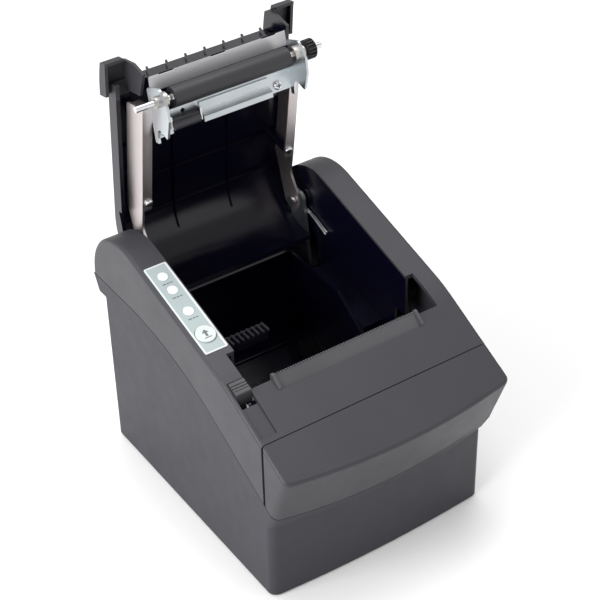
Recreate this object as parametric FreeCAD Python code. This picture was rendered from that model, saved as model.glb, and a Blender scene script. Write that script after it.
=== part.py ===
import FreeCAD
import Part
import math
import os

# A desktop thermal receipt printer with its roll lid swung open.
# Millimetres. +Z is up, -Y is the front, +X is the right-hand side seen from the front.
# The origin is on the table, under the middle of the object's overall footprint.

VEC = FreeCAD.Vector

# --- overall sizes -------------------------------------------------------------------------
WIDTH = 145.0                 # across the upper case
CASE_REAR = 99.5              # rear face of the upper case, from the origin
BASE_WIDTH = WIDTH - 3.6      # across the lower case, under the flared lip
BASE_FRONT = 75.2             # lower case front corners, from the origin
BASE_REAR = CASE_REAR - 8.5   # lower case rear face, from the origin
WALL = 2.5                    # moulded wall
GAP = 0.5                     # joint line between two mouldings
CORNER = 5.0                  # upright corner radius of the cases

# --- the front, which bows forward in plan: (height, corner reach, bow) --------------------
FOOT_RISE = 1.2               # the rubber feet hold the case this far off the table
LIP_FRONT_Z = 51.3            # lower edge of the flared lip at the front
SEAM_FRONT_Z = 64.0           # joint between the two cases at the front
VISOR_Z = 98.4                # top edge of the overhanging visor
SEAM_REACH = BASE_FRONT + 7.0
VISOR_REACH = BASE_FRONT + 20.3
BASE_BOW = 2.3
LIP_BOW = 7.6
SEAM_BOW = 8.0
VISOR_TOP_BOW = 6.3

# --- side view: the joint line between the cases -------------------------------------------
SEAM_SLOPE = 0.534            # rise per millimetre towards the back
SEAM_ARC = 185.0              # radius that levels the joint line out
SEAM_LEVEL_Z = 116.4          # level stretch at the back
LIP_HEIGHT = 12.0             # flared lip, measured down from the joint line
LIP_REAR_DROP = 18.0          # height of the slanted flare at the back

# --- side view: the top ---------------------------------------------------------------------
COVER_Y = -72.9               # joint between the front cover and the deck
COVER_Z = 109.0
KNEE_Y = -36.5                # the slope eases here
KNEE_Z = 127.0
DECK_SLOPE = 0.285
REAR_ROUND = 36.0             # radius over the back
KNEE_ROUND = 90.0
TOP_EDGE_ROUND = 2.0
COVER_BAND = 6.0              # width of the front cover's edge seen from the side

# --- lid ------------------------------------------------------------------------------------
HINGE_Y = CASE_REAR - 23.5
HINGE_Z = SEAM_LEVEL_Z + 14.0
LID_OPEN = 101.0              # degrees between shut and fully open
LID_HALF = WIDTH / 2 - 17.5    # half width of the lid
LID_CLEAR = 0.6               # gap each side of the lid
LID_SINK = 1.5                # the lid's skin lies this far under the shoulders' crest
LID_FRONT_Y = -31.5
LID_REAR_Z = SEAM_LEVEL_Z + 2.6            # lower edge of the lid's rear skirt when shut
LID_RIM = 8.0
EAR_IN = LID_HALF - 11.0
EAR_OUT = LID_HALF + 4.3
EAR_FRONT_Y = -45.0
EAR_REAR_Y = -25.0
EAR_DEPTH = 20.0
EAR_CLEAR = 1.3

# --- print line -------------------------------------------------------------------------------
PLATEN_Y = -25.5
PLATEN_Z = 93.4
PLATEN_R = 5.5
SHAFT_R = 1.8
SHAFT_CLEAR = 0.05            # running clearance in every plain bearing
ARM_IN = LID_HALF - 11.0      # the steel arms lie between these two
ARM_OUT = ARM_IN + 6.0
ARM_TALL = 17.5
ARM_FRONT_Y = -21.0
ARM_FRONT_Z = 101.4
ARM_SLOPE = 0.356
STEEL = 1.4                   # sheet thickness of every bracket
PLATEN_HALF = ARM_IN - 8.0
GEAR_X = ARM_IN + 3.6
GEAR_THICK = 4.4
MODULE = 0.6
PLATEN_TEETH = 17
IDLER_TEETH = 33
PINION_TEETH = 14
IDLER_ANGLE = -130.0
HEAD_LEAN = math.atan2(10.0, 30.0)
BRACKET_Y = -46.0              # front face of the bracket behind the head
PINION_ANGLE = -100.0
BUSH_WALL = 1.5               # wall of the platen's bearings
GUIDE_Y = -7.8
GUIDE_Z = 99.8
GUIDE_R = 3.3
GUIDE_PIN_R = 1.0
BLADE_Z = 102.8               # underside of the fixed blade when shut
BLADE_EDGE_Y = -36.5
MOVING_BLADE_EDGE_Y = -39.6
MOVING_BLADE_THICK = 1.0
RACK_TEETH = 12
RACK_MODULE = 0.8
RACK_PITCH_R = RACK_MODULE * RACK_TEETH / 2
CUTTER_X = 20.0               # the cutter pinion's place
CUTTER_Y = -64.0
IDLER_DIST = MODULE * (PLATEN_TEETH + IDLER_TEETH) / 2 + 0.15
IDLER_Y = PLATEN_Y + IDLER_DIST * math.cos(math.radians(IDLER_ANGLE))
IDLER_Z = PLATEN_Z + IDLER_DIST * math.sin(math.radians(IDLER_ANGLE))
IDLER_TURN = IDLER_ANGLE + 180.0 + 180.0 / IDLER_TEETH
PINION_DIST = MODULE * (IDLER_TEETH + PINION_TEETH) / 2 + 0.1
MOTOR_Y = IDLER_Y + PINION_DIST * math.cos(math.radians(PINION_ANGLE))
MOTOR_Z = IDLER_Z + PINION_DIST * math.sin(math.radians(PINION_ANGLE))
PINION_TURN = (PINION_ANGLE + 180.0 + 180.0 / PINION_TEETH
               - (IDLER_TURN - PINION_ANGLE) * IDLER_TEETH / PINION_TEETH)
MOTOR_R = 10.0

# --- latch and release lever ------------------------------------------------------------------
LATCH_Y = -50.5
LATCH_Z = 80.0
LATCH_R = 2.5
HOOK_X = LID_HALF - 2.0
HOOK_THICK = 1.5
LEVER_X = WALL + 4.5 - WIDTH / 2
LEVER_HALF = 4.6
LEVER_BOSS = 2.4
FRAME_X = LID_HALF + 1.0      # inner face of each steel side frame
FRAME_REAR_Y = -14.0
FRAME_FRONT_Y = -70.0

# --- roll bucket ------------------------------------------------------------------------------
ROLL_Y = HINGE_Y - 48.0
ROLL_Z = 68.0
BUCKET_R = 43.0               # takes an 83 mm roll
BUCKET_HALF = ARM_IN - 3.0    # takes 80 mm paper
BUCKET_FRONT_Z = 84.0
BUCKET_REAR_Z = 100.0
BUCKET_WALL = 2.0
SENSOR_Y = ROLL_Y - 22.0
SENSOR_Z = 105.4

# --- control strip ----------------------------------------------------------------------------
STRIP_X = 9.2 - WIDTH / 2
STRIP_HALF = 6.9
STRIP_MID_Y = 12.0
STRIP_LONG = 64.4
STRIP_THICK = 0.4
LED_YS = (34.5, 24.6, 9.0)
LED_R = 2.9
BUTTON_Y = -7.8
BUTTON_R = 5.6
BUTTON_CLEAR = 0.35
BUTTON_TRAVEL = 0.8

# --- bottom and back --------------------------------------------------------------------------
FLOOR_THICK = 2.0
FOOT_R = 7.0
FOOT_X = BASE_WIDTH / 2 - 14.7
FOOT_FRONT_Y = -60.0
FOOT_REAR_Y = BASE_REAR - 15.0
BOARD_Z = 8.5
BOARD_THICK = 1.6
PANEL_Y = BASE_REAR - 6.5
PANEL_THICK = 1.2
PANEL_HALF = BASE_WIDTH / 2 - 10.7
PANEL_TOP_Z = 42.0
SOCKET_FRONT_Y = PANEL_Y - 10.0
SCREW_R = 1.5
SCREW_HEAD_R = 3.0
TRAY_TOP = 58.6               # the print mechanism stands on its tray at this height
TEAR_HALF = LID_HALF - 8.0    # half width of the tear bar
TEAR_REAR_Y = -43.6
TEAR_FRONT_Y = -51.9
PLATE_Z = BLADE_Z + 0.6       # underside of the lid's cross plate when shut
PLATE_SCREWS = ((ARM_IN - 10.6, -7.4), (4.8 - ARM_IN, -5.0))   # (x, y) of the cross plate's screws
ARM_SCREW_Y = HINGE_Y - 34.7
ARM_SCREW_X = ARM_IN + 2.0

FAR = 400.0
EPS = 0.01


# --- small helpers ----------------------------------------------------------------------------
def box(x0, x1, y0, y1, z0, z1):
    """A plain block between two corners."""
    return Part.makeBox(x1 - x0, y1 - y0, z1 - z0, VEC(x0, y0, z0))


def rod_x(x0, x1, y, z, r):
    """A round bar along X."""
    return Part.makeCylinder(r, x1 - x0, VEC(x0, y, z), VEC(1, 0, 0))


def rod_y(x, y0, y1, z, r):
    """A round bar along Y."""
    return Part.makeCylinder(r, y1 - y0, VEC(x, y0, z), VEC(0, 1, 0))


def rod_z(x, y, z0, z1, r):
    """A round bar along Z."""
    return Part.makeCylinder(r, z1 - z0, VEC(x, y, z0), VEC(0, 0, 1))


def joined(shapes):
    """Fuse a list of solids into one."""
    first = shapes[0]
    rest = shapes[1:]
    return first.fuse(rest) if rest else first


def cut_all(shape, tools):
    """Cut a list of tools from a solid."""
    return shape.cut(tools) if tools else shape


def rounded_edges(points, place):
    """Edges of a closed outline. Each point is (u, v, radius); a radius rounds that corner with a
    tangent arc."""
    count = len(points)
    cuts = []
    for i in range(count):
        u, v, r = points[i]
        pu, pv = points[i - 1][0], points[i - 1][1]
        nu, nv = points[(i + 1) % count][0], points[(i + 1) % count][1]
        if r <= 0:
            cuts.append(((u, v), None, (u, v)))
            continue
        a = math.atan2(pv - v, pu - u)
        b = math.atan2(nv - v, nu - u)
        half = abs((b - a + math.pi) % (2 * math.pi) - math.pi) / 2
        reach = r / math.tan(half)
        start = (u + reach * math.cos(a), v + reach * math.sin(a))
        end = (u + reach * math.cos(b), v + reach * math.sin(b))
        bu = math.cos(a) + math.cos(b)
        bv = math.sin(a) + math.sin(b)
        size = math.hypot(bu, bv)
        mid_reach = r / math.sin(half) - r
        mid = (u + mid_reach * bu / size, v + mid_reach * bv / size)
        cuts.append((start, mid, end))
    edges = []
    for i in range(count):
        start, mid, end = cuts[i]
        if mid:
            edges.append(Part.Arc(place(*start), place(*mid), place(*end)).toShape())
        following = cuts[(i + 1) % count][0]
        if math.hypot(following[0] - end[0], following[1] - end[1]) > 1e-6:
            edges.append(Part.LineSegment(place(*end), place(*following)).toShape())
    return edges


def side_solid(points, x0, x1):
    """A side-view outline of (y, z) or (y, z, radius) points, carried from x0 to x1."""
    full = [(p[0], p[1], p[2] if len(p) > 2 else 0) for p in points]
    wire = Part.Wire(rounded_edges(full, lambda u, v: VEC(x0, u, v)))
    return Part.Face(wire).extrude(VEC(x1 - x0, 0, 0))


def plan_solid(points, z0, z1):
    """A plan outline of (x, y) or (x, y, radius) points, carried from z0 to z1."""
    full = [(p[0], p[1], p[2] if len(p) > 2 else 0) for p in points]
    wire = Part.Wire(rounded_edges(full, lambda u, v: VEC(u, v, z0)))
    return Part.Face(wire).extrude(VEC(0, 0, z1 - z0))


def front_solid(points, y0, y1):
    """A front-view outline of (x, z) or (x, z, radius) points, carried from y0 to y1."""
    full = [(p[0], p[1], p[2] if len(p) > 2 else 0) for p in points]
    wire = Part.Wire(rounded_edges(full, lambda u, v: VEC(u, y0, v)))
    return Part.Face(wire).extrude(VEC(0, y1 - y0, 0))


def mirrored(shape):
    """The same piece on the other side of the middle plane."""
    return shape.mirror(VEC(0, 0, 0), VEC(1, 0, 0))


def both_sides(shape):
    """A piece and its mirror image, as two separate solids."""
    return Part.makeCompound([shape, mirrored(shape)])


def to_open(shape):
    """Turn a lid piece from its shut place to the stored, open place."""
    copy = shape.copy()
    copy.rotate(VEC(0, HINGE_Y, HINGE_Z), VEC(1, 0, 0), -LID_OPEN)
    return copy


def gear(teeth, module, x0, x1, y, z, bore, turn=0.0):
    """A spur gear along X with straight-sided teeth, thinned for backlash."""
    tip = module * (teeth / 2 + 0.9)
    root = module * (teeth / 2 - 1.15)
    pitch_angle = 2 * math.pi / teeth
    points = []
    for i in range(teeth):
        centre = i * pitch_angle + math.radians(turn)
        for r, share in ((root, -0.36), (tip, -0.12), (tip, 0.12), (root, 0.36)):
            angle = centre + share * pitch_angle
            points.append((y + r * math.cos(angle), z + r * math.sin(angle)))
    blank = side_solid(points, x0, x1)
    return blank.cut(rod_x(x0 - 1, x1 + 1, y, z, bore)) if bore else blank


# --- the top and joint-line curves ------------------------------------------------------------
def seam_z(y, drop=0.0):
    """Height of the joint line between the cases at a given y."""
    slope_angle = math.atan(SEAM_SLOPE)
    arc_rise = SEAM_ARC * (1 - math.cos(slope_angle))
    start_z = SEAM_LEVEL_Z - arc_rise
    start_y = -SEAM_REACH + (start_z - SEAM_FRONT_Z) / SEAM_SLOPE
    end_y = start_y + SEAM_ARC * math.sin(slope_angle)
    if y < start_y:
        return SEAM_FRONT_Z + SEAM_SLOPE * (y + SEAM_REACH) - drop
    if y > end_y:
        return SEAM_LEVEL_Z - drop
    run = end_y - y
    return SEAM_LEVEL_Z - SEAM_ARC + math.sqrt(SEAM_ARC ** 2 - run ** 2) - drop


def seam_corner():
    """Where the straight and level stretches of the joint line would meet."""
    return -SEAM_REACH + (SEAM_LEVEL_Z - SEAM_FRONT_Z) / SEAM_SLOPE


def below_seam(drop, reach=FAR / 2):
    """Everything under the joint line, lowered by drop."""
    y0 = -reach
    z0 = SEAM_FRONT_Z + SEAM_SLOPE * (y0 + SEAM_REACH) - drop
    level = SEAM_LEVEL_Z - drop
    points = [(y0, -FAR), (y0, z0), (seam_corner(), level, SEAM_ARC), (reach, level), (reach, -FAR)]
    return side_solid(points, -FAR / 2, FAR / 2)


def deck_z(y):
    """Height of the deck at a given y, on its two straight stretches."""
    if y < KNEE_Y:
        return KNEE_Z + (KNEE_Z - COVER_Z) / (KNEE_Y - COVER_Y) * (y - KNEE_Y)
    return KNEE_Z + DECK_SLOPE * (y - KNEE_Y)


def top_points(sink=0.0, rear=CASE_REAR):
    """Corner points of the top outline, from front to back, sunk straight in by sink."""
    front_slope = (KNEE_Z - COVER_Z) / (KNEE_Y - COVER_Y)
    ease = sink * math.sqrt(1 + front_slope ** 2)
    lift = sink * math.sqrt(1 + DECK_SLOPE ** 2)
    knee_y = KNEE_Y + (ease - lift) / (front_slope - DECK_SLOPE)
    knee_z = deck_line(knee_y, front_slope) - ease
    start_y = -FAR / 2
    rear_y = rear - sink
    return [(start_y, deck_line(start_y, front_slope) - ease),
            (knee_y, knee_z, KNEE_ROUND - sink),
            (rear_y, KNEE_Z + DECK_SLOPE * (rear_y - KNEE_Y) - lift, REAR_ROUND - sink)]


def deck_line(y, slope):
    """The deck's front straight stretch, carried on to any y."""
    return KNEE_Z + slope * (y - KNEE_Y)


def under_top(sink, half, low_z=-FAR):
    """Everything under the top outline, sunk in by sink, across -half to half."""
    points = top_points(sink)
    rear_y = CASE_REAR - sink
    return side_solid([(-FAR / 2, low_z)] + points + [(rear_y, low_z)], -half, half)


def bow_wire(z, corner, bow, inset, half):
    """A plan outline at one height: an arc across the front, rounded front corners, straight sides."""
    radius = (half ** 2 + bow ** 2) / (2 * bow)
    centre_y = radius - corner - bow
    big = radius - inset
    small = CORNER - inset
    side = half - inset
    round_x = side - small
    round_y = centre_y - math.sqrt((big - small) ** 2 - round_x ** 2)
    lean = math.atan2(round_x, centre_y - round_y)
    touch = VEC(big * math.sin(lean), centre_y - big * math.cos(lean), z)
    middle = (math.pi / 2 + lean) / 2
    corner_mid = VEC(round_x + small * math.sin(middle), round_y - small * math.cos(middle), z)
    flank = VEC(side, round_y, z)
    back = VEC(side, FAR / 2, z)

    def flip(p):
        return VEC(-p.x, p.y, p.z)

    edges = [Part.Arc(flip(touch), VEC(0, centre_y - big, z), touch),
             Part.Arc(touch, corner_mid, flank),
             Part.LineSegment(flank, back),
             Part.LineSegment(back, flip(back)),
             Part.LineSegment(flip(back), flip(flank)),
             Part.Arc(flip(flank), flip(corner_mid), flip(touch))]
    return Part.Wire([edge.toShape() for edge in edges])


def front_limit(inset, half=WIDTH / 2):
    """A block whose front face is the bowed, flared and overhanging front, moved in by inset."""
    over = VISOR_Z + 22.0
    grow = (over - SEAM_FRONT_Z) / (VISOR_Z - SEAM_FRONT_Z)
    over_reach = SEAM_REACH + grow * (VISOR_REACH - SEAM_REACH)
    over_bow = SEAM_BOW + grow * (VISOR_TOP_BOW - SEAM_BOW)
    wires = [bow_wire(-5.0, BASE_FRONT, BASE_BOW, inset, half),
             bow_wire(LIP_FRONT_Z, BASE_FRONT, LIP_BOW, inset, half),
             bow_wire(SEAM_FRONT_Z, SEAM_REACH, SEAM_BOW, inset, half),
             bow_wire(over, over_reach, over_bow, inset, half),
             bow_wire(over + 60, over_reach, over_bow, inset, half)]
    return Part.makeLoft(wires, True, True)


# --- housing shells ---------------------------------------------------------------------------
def lower_case():
    """The lower case: an open-bottomed tub with a flared lip under the joint line."""
    half = BASE_WIDTH / 2
    tub_front = -BASE_FRONT - 30
    tub = box(-half, half, tub_front, BASE_REAR, FOOT_RISE, FAR / 2).common(below_seam(LIP_HEIGHT - 1))
    lip_low = below_seam(0.0).cut(below_seam(LIP_HEIGHT))
    lip = lip_low.common(box(-WIDTH / 2, WIDTH / 2, -FAR / 2, CASE_REAR, 0, FAR / 2))
    lip = lip.makeChamfer((WIDTH - BASE_WIDTH) / 2 - EPS, lip_side_edges(lip))
    flare = side_solid([(CASE_REAR, SEAM_LEVEL_Z + 1), (CASE_REAR, SEAM_LEVEL_Z - EPS),
                        (BASE_REAR, SEAM_LEVEL_Z - LIP_REAR_DROP), (BASE_REAR, -1),
                        (CASE_REAR + 50, -1), (CASE_REAR + 50, SEAM_LEVEL_Z + 1)], -FAR / 2, FAR / 2)
    outer = joined([tub.common(front_limit(0.0, half)), lip.common(front_limit(0.0))]).cut(flare)
    inner_half = half - WALL
    inner = box(-inner_half, inner_half, -FAR / 2, BASE_REAR - WALL, -1, FAR / 2)
    inner = inner.common(front_limit(WALL, half))
    shell = outer.cut(inner)
    sweep = math.hypot(CASE_REAR - LID_SINK - HINGE_Y, HINGE_Z - LID_REAR_Z) + 0.8
    shell = shell.cut(rod_x(-LID_HALF - LID_CLEAR, LID_HALF + LID_CLEAR, HINGE_Y, HINGE_Z, sweep))
    window = box(-PANEL_HALF, PANEL_HALF, PANEL_Y, BASE_REAR + 1, BOARD_Z + BOARD_THICK + 0.4, PANEL_TOP_Z)
    rim = joined([box(-PANEL_HALF - 2, PANEL_HALF + 2, PANEL_Y - 2, BASE_REAR - 1, PANEL_TOP_Z,
                      PANEL_TOP_Z + 2),
                  box(PANEL_HALF, PANEL_HALF + 2, PANEL_Y - 2, BASE_REAR - 1, BOARD_Z, PANEL_TOP_Z + 2),
                  box(-PANEL_HALF - 2, -PANEL_HALF, PANEL_Y - 2, BASE_REAR - 1, BOARD_Z, PANEL_TOP_Z + 2)])
    bosses = [joined_pair(box(inner_half - 6, inner_half + EPS, y - 4, y + 4, FOOT_RISE + FLOOR_THICK, 14))
              for y in (FOOT_FRONT_Y + 12, 0, FOOT_REAR_Y - 12)]
    return joined([shell.cut(window), rim] + bosses)


def lip_side_edges(lip):
    """The lip's two lower side edges, which the chamfer turns into the flare."""
    picked = []
    for edge in lip.Edges:
        middle = edge.valueAt((edge.FirstParameter + edge.LastParameter) / 2)
        on_side = abs(abs(middle.x) - WIDTH / 2) < 0.01
        low = abs(middle.z - seam_z(middle.y, LIP_HEIGHT)) < 0.3
        if on_side and low and abs(edge.Vertexes[0].Point.y - edge.Vertexes[-1].Point.y) > 1:
            picked.append(edge)
    return picked


def lid_opening(grow=0.0):
    """The space in the top that the lid closes, between the two shoulders."""
    half = LID_HALF + LID_CLEAR + grow
    ears = EAR_OUT + EAR_CLEAR + grow
    return joined([box(-half, half, EAR_FRONT_Y + 1.5, FAR / 2, SEAM_LEVEL_Z - 40, FAR / 2),
                   box(-ears, ears, EAR_FRONT_Y - 0.6, EAR_REAR_Y + 2.0, SEAM_LEVEL_Z - 18, FAR / 2)])


def cover_zone(gap):
    """Everything in front of the joint between deck and front cover."""
    return box(-FAR / 2, FAR / 2, -FAR / 2, COVER_Y - gap, -1, FAR / 2)


def upper_case():
    """The upper case: two tall shoulders beside the roll opening, joined by the deck in front."""
    outer = under_top(0.0, WIDTH / 2).common(front_limit(0.0)).cut(below_seam(-GAP))
    outer = outer.makeFillet(TOP_EDGE_ROUND, top_side_edges(outer))
    hollow = under_top(WALL, WIDTH / 2 - WALL).common(front_limit(WALL))
    shell = outer.cut(hollow)
    cheeks = cheek_plates()
    shell = shell.cut(cover_zone(0.0))
    rails = shoulder_walls()
    shell = joined([shell, rails, cheeks, case_tabs(), strip_posts()])
    tools = [lid_opening(), lever_slot(), deck_hole(BUTTON_Y, BUTTON_R + BUTTON_CLEAR)]
    tools += [deck_hole(y, LED_R + 0.1) for y in LED_YS]
    tools += [tear_bar_seat()]
    return cut_all(shell, tools)


def top_side_edges(shape):
    """The long outer edges between the top and the sides."""
    picked = []
    for edge in shape.Edges:
        middle = edge.valueAt((edge.FirstParameter + edge.LastParameter) / 2)
        if abs(abs(middle.x) - WIDTH / 2) > 0.01 or middle.z < seam_z(middle.y) + 1.5:
            continue
        if abs(edge.Vertexes[0].Point.x - edge.Vertexes[-1].Point.x) < 0.01 and middle.y > COVER_Y - 15:
            picked.append(edge)
    return picked


def shoulder_walls():
    """Inner walls of the two shoulders, down each side of the roll opening."""
    half = LID_HALF + LID_CLEAR
    wall = box(half, half + 2.0, EAR_REAR_Y + 1.9, BASE_REAR - WALL - 0.5, SEAM_LEVEL_Z - 12, FAR / 2)
    deep = box(half, half + 2.0, FRAME_REAR_Y + 0.5, HINGE_Y - 14, BUCKET_FRONT_Z - 2, SEAM_LEVEL_Z)
    wall = joined([wall, deep]).common(under_top(0.1, WIDTH / 2))
    return joined_pair(wall)


def case_tabs():
    """Tabs on the upper case that drop inside the lower case and locate it."""
    inner = BASE_WIDTH / 2 - WALL
    tabs = []
    for y in (-8.0, HINGE_Y - 36):
        low, high = seam_z(y - 5) - 6, seam_z(y + 5) + 6
        tabs.append(joined_pair(joined([box(inner - 2, inner, y - 5, y + 5, low, high),
                                        box(inner - 1, WIDTH / 2 - WALL + 0.1, y - 5, y + 5, high - 5,
                                            high)])))
    return joined(tabs)


def strip_posts():
    """Two posts under the left shoulder that carry the control board."""
    return joined([on_deck(rod_z(STRIP_X, 0, -8, -WALL + 0.5, 1.5), y) for y in (17.0, 1.0)])


def joined_pair(shape):
    """A piece and its mirror image as one shape for further cuts."""
    return shape.fuse([mirrored(shape)])


def cheek_plates():
    """The side cheeks behind the front cover's edge."""
    solid = under_top(COVER_BAND, WIDTH / 2).common(front_limit(COVER_BAND)).cut(below_seam(-GAP))
    solid = solid.common(box(-FAR / 2, FAR / 2, -FAR / 2, COVER_Y + 1.0, -1, FAR / 2))
    return solid.cut(box(-WIDTH / 2 + WALL, WIDTH / 2 - WALL, -FAR / 2, FAR / 2, -1, FAR / 2))


def front_cover():
    """The removable front cover: a sloping top strip and the bowed visor under it."""
    outer = under_top(0.0, WIDTH / 2).common(front_limit(0.0)).cut(below_seam(-GAP))
    outer = outer.common(cover_zone(GAP))
    outer = outer.makeFillet(TOP_EDGE_ROUND, top_side_edges(outer))
    band = under_top(COVER_BAND - GAP, WIDTH).common(front_limit(COVER_BAND - GAP))
    hollow = under_top(WALL, WIDTH / 2 - WALL - GAP).common(front_limit(WALL))
    return outer.cut([band, hollow])


def on_deck(shape, y):
    """Place a piece made flat at the origin onto the deck's slope at a given y."""
    copy = shape.copy()
    copy.rotate(VEC(0, 0, 0), VEC(1, 0, 0), math.degrees(math.atan(DECK_SLOPE)))
    copy.translate(VEC(0, y, deck_z(y)))
    return copy


def deck_hole(y, radius):
    """A hole square to the deck in the control strip."""
    return on_deck(rod_z(STRIP_X, 0, -8, 8, radius), y)


def control_label():
    """The pale control strip on the left shoulder."""
    half = STRIP_LONG / 2
    plate = plan_solid([(STRIP_X - STRIP_HALF, -half, 1), (STRIP_X + STRIP_HALF, -half, 1),
                        (STRIP_X + STRIP_HALF, half, 1), (STRIP_X - STRIP_HALF, half, 1)], 0, STRIP_THICK)
    plate = on_deck(plate, STRIP_MID_Y)
    holes = [deck_hole(y, LED_R + 0.1) for y in LED_YS]
    return cut_all(plate, holes + [deck_hole(BUTTON_Y, BUTTON_R + BUTTON_CLEAR)])


def led_lenses():
    """Three milky light guides, flush with the strip."""
    lens = rod_z(STRIP_X, 0, -4.5, STRIP_THICK + 0.3, LED_R)
    return Part.makeCompound([on_deck(lens, y) for y in LED_YS])


def feed_button():
    """The round feed button with a stem down to its switch."""
    cap = rod_z(STRIP_X, 0, -1.8, STRIP_THICK + 1.0, BUTTON_R)
    cap = cap.makeFillet(0.4, [e for e in cap.Edges if e.BoundBox.ZMin > STRIP_THICK + 0.9])
    return on_deck(joined([cap, rod_z(STRIP_X, 0, -5.0, -1.7, 2.0)]), BUTTON_Y)


def control_board():
    """The small circuit board under the control strip, with the feed switch."""
    half = STRIP_LONG / 2 - 6
    board = box(STRIP_X - 6.0, STRIP_X + 4.0, -half, half, -9.6, -8.0)
    board = on_deck(board, STRIP_MID_Y)
    switch = on_deck(box(STRIP_X - 3, STRIP_X + 3, -3, 3, -8.1, -6.0), BUTTON_Y)
    leds = [on_deck(box(STRIP_X - 1.6, STRIP_X + 1.6, -1.6, 1.6, -8.1, -4.5), y) for y in LED_YS]
    return joined([board, switch] + leds)


# --- deck fittings ----------------------------------------------------------------------------
def tear_bar_seat():
    """The pocket in the deck that the tear bar fills."""
    return box(-TEAR_HALF, TEAR_HALF, TEAR_FRONT_Y, EAR_FRONT_Y + 2, 111, FAR / 2)


def tear_bar():
    """The paper tear bar: a ramp up to a fine toothed edge, with an upright at each end."""
    top = deck_z(TEAR_REAR_Y) + 0.7
    ramp = side_solid([(TEAR_REAR_Y - 0.2, top), (TEAR_REAR_Y - 1.0, top),
                       (TEAR_FRONT_Y, deck_z(TEAR_FRONT_Y) - 1.4),
                       (TEAR_FRONT_Y, 112.0), (TEAR_FRONT_Y + 2.2, 112.0), (TEAR_REAR_Y - 0.2, 118.0)],
                      -TEAR_HALF + 1.6, TEAR_HALF - 1.6)
    pitch = 1.6
    reach = TEAR_HALF - 3.0
    notch = front_solid([(-0.45, top + 0.2), (0.45, top + 0.2), (0.0, top - 0.8)], TEAR_REAR_Y - 2,
                        TEAR_REAR_Y + 1)
    teeth = []
    for i in range(int(2 * reach / pitch)):
        tooth = notch.copy()
        tooth.translate(VEC(-reach + pitch * (i + 0.5), 0, 0))
        teeth.append(tooth)
    ramp = ramp.cut(teeth)
    cap = side_solid([(TEAR_REAR_Y, top + 0.9, 0.6), (TEAR_REAR_Y - 1.8, top + 0.9, 0.8),
                      (TEAR_FRONT_Y, deck_z(TEAR_FRONT_Y) + 0.9, 0.8), (TEAR_FRONT_Y, 112.0),
                      (TEAR_REAR_Y, 112.0)],
                     TEAR_HALF - 1.7, TEAR_HALF)
    return joined([ramp, cap, mirrored(cap)])


def lever_slot():
    """The slot and finger groove in the deck for the release lever."""
    slot = box(LEVER_X - LEVER_HALF - 0.4, LEVER_X + LEVER_HALF + 0.4, -52.5, -38.6, 100, FAR / 2)
    groove_low = deck_z(-60) - 1.2
    groove = side_solid([(-70.0, deck_z(-70) - 1.2), (-52.0, deck_z(-52) - 1.2),
                         (-52.0, deck_z(-52) + 5), (-70.0, groove_low + 9)],
                        LEVER_X - LEVER_HALF - 0.4, LEVER_X + LEVER_HALF + 0.4)
    return joined([slot, groove])


def release_lever():
    """The lid release lever: a thumb tab above the deck on an arm from the latch shaft."""
    top = deck_z(-43.5)
    tab = side_solid([(-39.4, top + 3.2, 0.6), (-39.4, top - 4), (-47.6, top - 7.0), (-47.6, top + 0.4, 0.8)],
                     LEVER_X - LEVER_HALF, LEVER_X + LEVER_HALF)
    grips = [box(LEVER_X - LEVER_HALF - 1, LEVER_X + LEVER_HALF + 1, y, y + 0.5, top + 1.0, top + 9)
             for y in (-45.6, -44.0, -42.4)]
    arm = side_solid([(LATCH_Y - 4, LATCH_Z - 4, 3), (LATCH_Y + 4, LATCH_Z - 4, 3), (-41.5, top - 4),
                      (-46.0, top - 5)], LEVER_X - 1.5, LEVER_X + 1.5)
    boss = rod_x(LEVER_X - LEVER_BOSS, LEVER_X + LEVER_BOSS, LATCH_Y, LATCH_Z, 5.0)
    tab = tab.cut([g.common(slab_above_tab(top)) for g in grips])
    return joined([tab, arm, boss]).cut(rod_x(LEVER_X - 9, LEVER_X + 9, LATCH_Y, LATCH_Z, LATCH_R))


def slab_above_tab(top):
    """A thin layer along the tab's face, so that its grip lines are shallow."""
    return side_solid([(-39.0, top + 4.0), (-39.0, top + 2.9), (-48.0, top - 0.35), (-48.0, top + 4.0)],
                      LEVER_X - 20, LEVER_X + 20)


def latch_shaft():
    """The cross shaft that carries both latch hooks and the release lever."""
    return rod_x(LEVER_X - LEVER_BOSS, FRAME_X + STEEL + 2.0, LATCH_Y, LATCH_Z, LATCH_R)


def latch_hooks():
    """Two fingers on the latch shaft that stand in front of the platen shaft's ends."""
    tip_y = PLATEN_Y - SHAFT_R - 1.6
    points = [(LATCH_Y - 5, LATCH_Z - 5, 4), (LATCH_Y + 4.5, LATCH_Z - 5, 4), (LATCH_Y + 8, LATCH_Z + 5.5, 3),
              (tip_y - 1.0, PLATEN_Z - 6, 1), (tip_y - 0.6, PLATEN_Z + 1.5),
              (tip_y - 3.6, PLATEN_Z + 8, 1.0), (tip_y - 7, PLATEN_Z + 5, 1.5), (LATCH_Y - 4, LATCH_Z + 6, 3)]
    hook = side_solid(points, HOOK_X, HOOK_X + HOOK_THICK)
    hook = hook.cut(rod_x(HOOK_X - 1, HOOK_X + HOOK_THICK + 1, LATCH_Y, LATCH_Z, LATCH_R))
    return both_sides(hook)


def latch_spring():
    """The latch return spring, wound round the latch shaft inside the left side frame."""
    coil = rod_x(-FRAME_X + 6.0, -FRAME_X + 14.0, LATCH_Y, LATCH_Z, LATCH_R + 1.6)
    coil = coil.cut(rod_x(-FRAME_X, 0, LATCH_Y, LATCH_Z, LATCH_R + 0.5))
    leg = box(-FRAME_X + 12.9, -FRAME_X + 13.9, LATCH_Y - 4.1, LATCH_Y - 3.1, TRAY_TOP, LATCH_Z)
    return joined([coil, leg])


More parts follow.
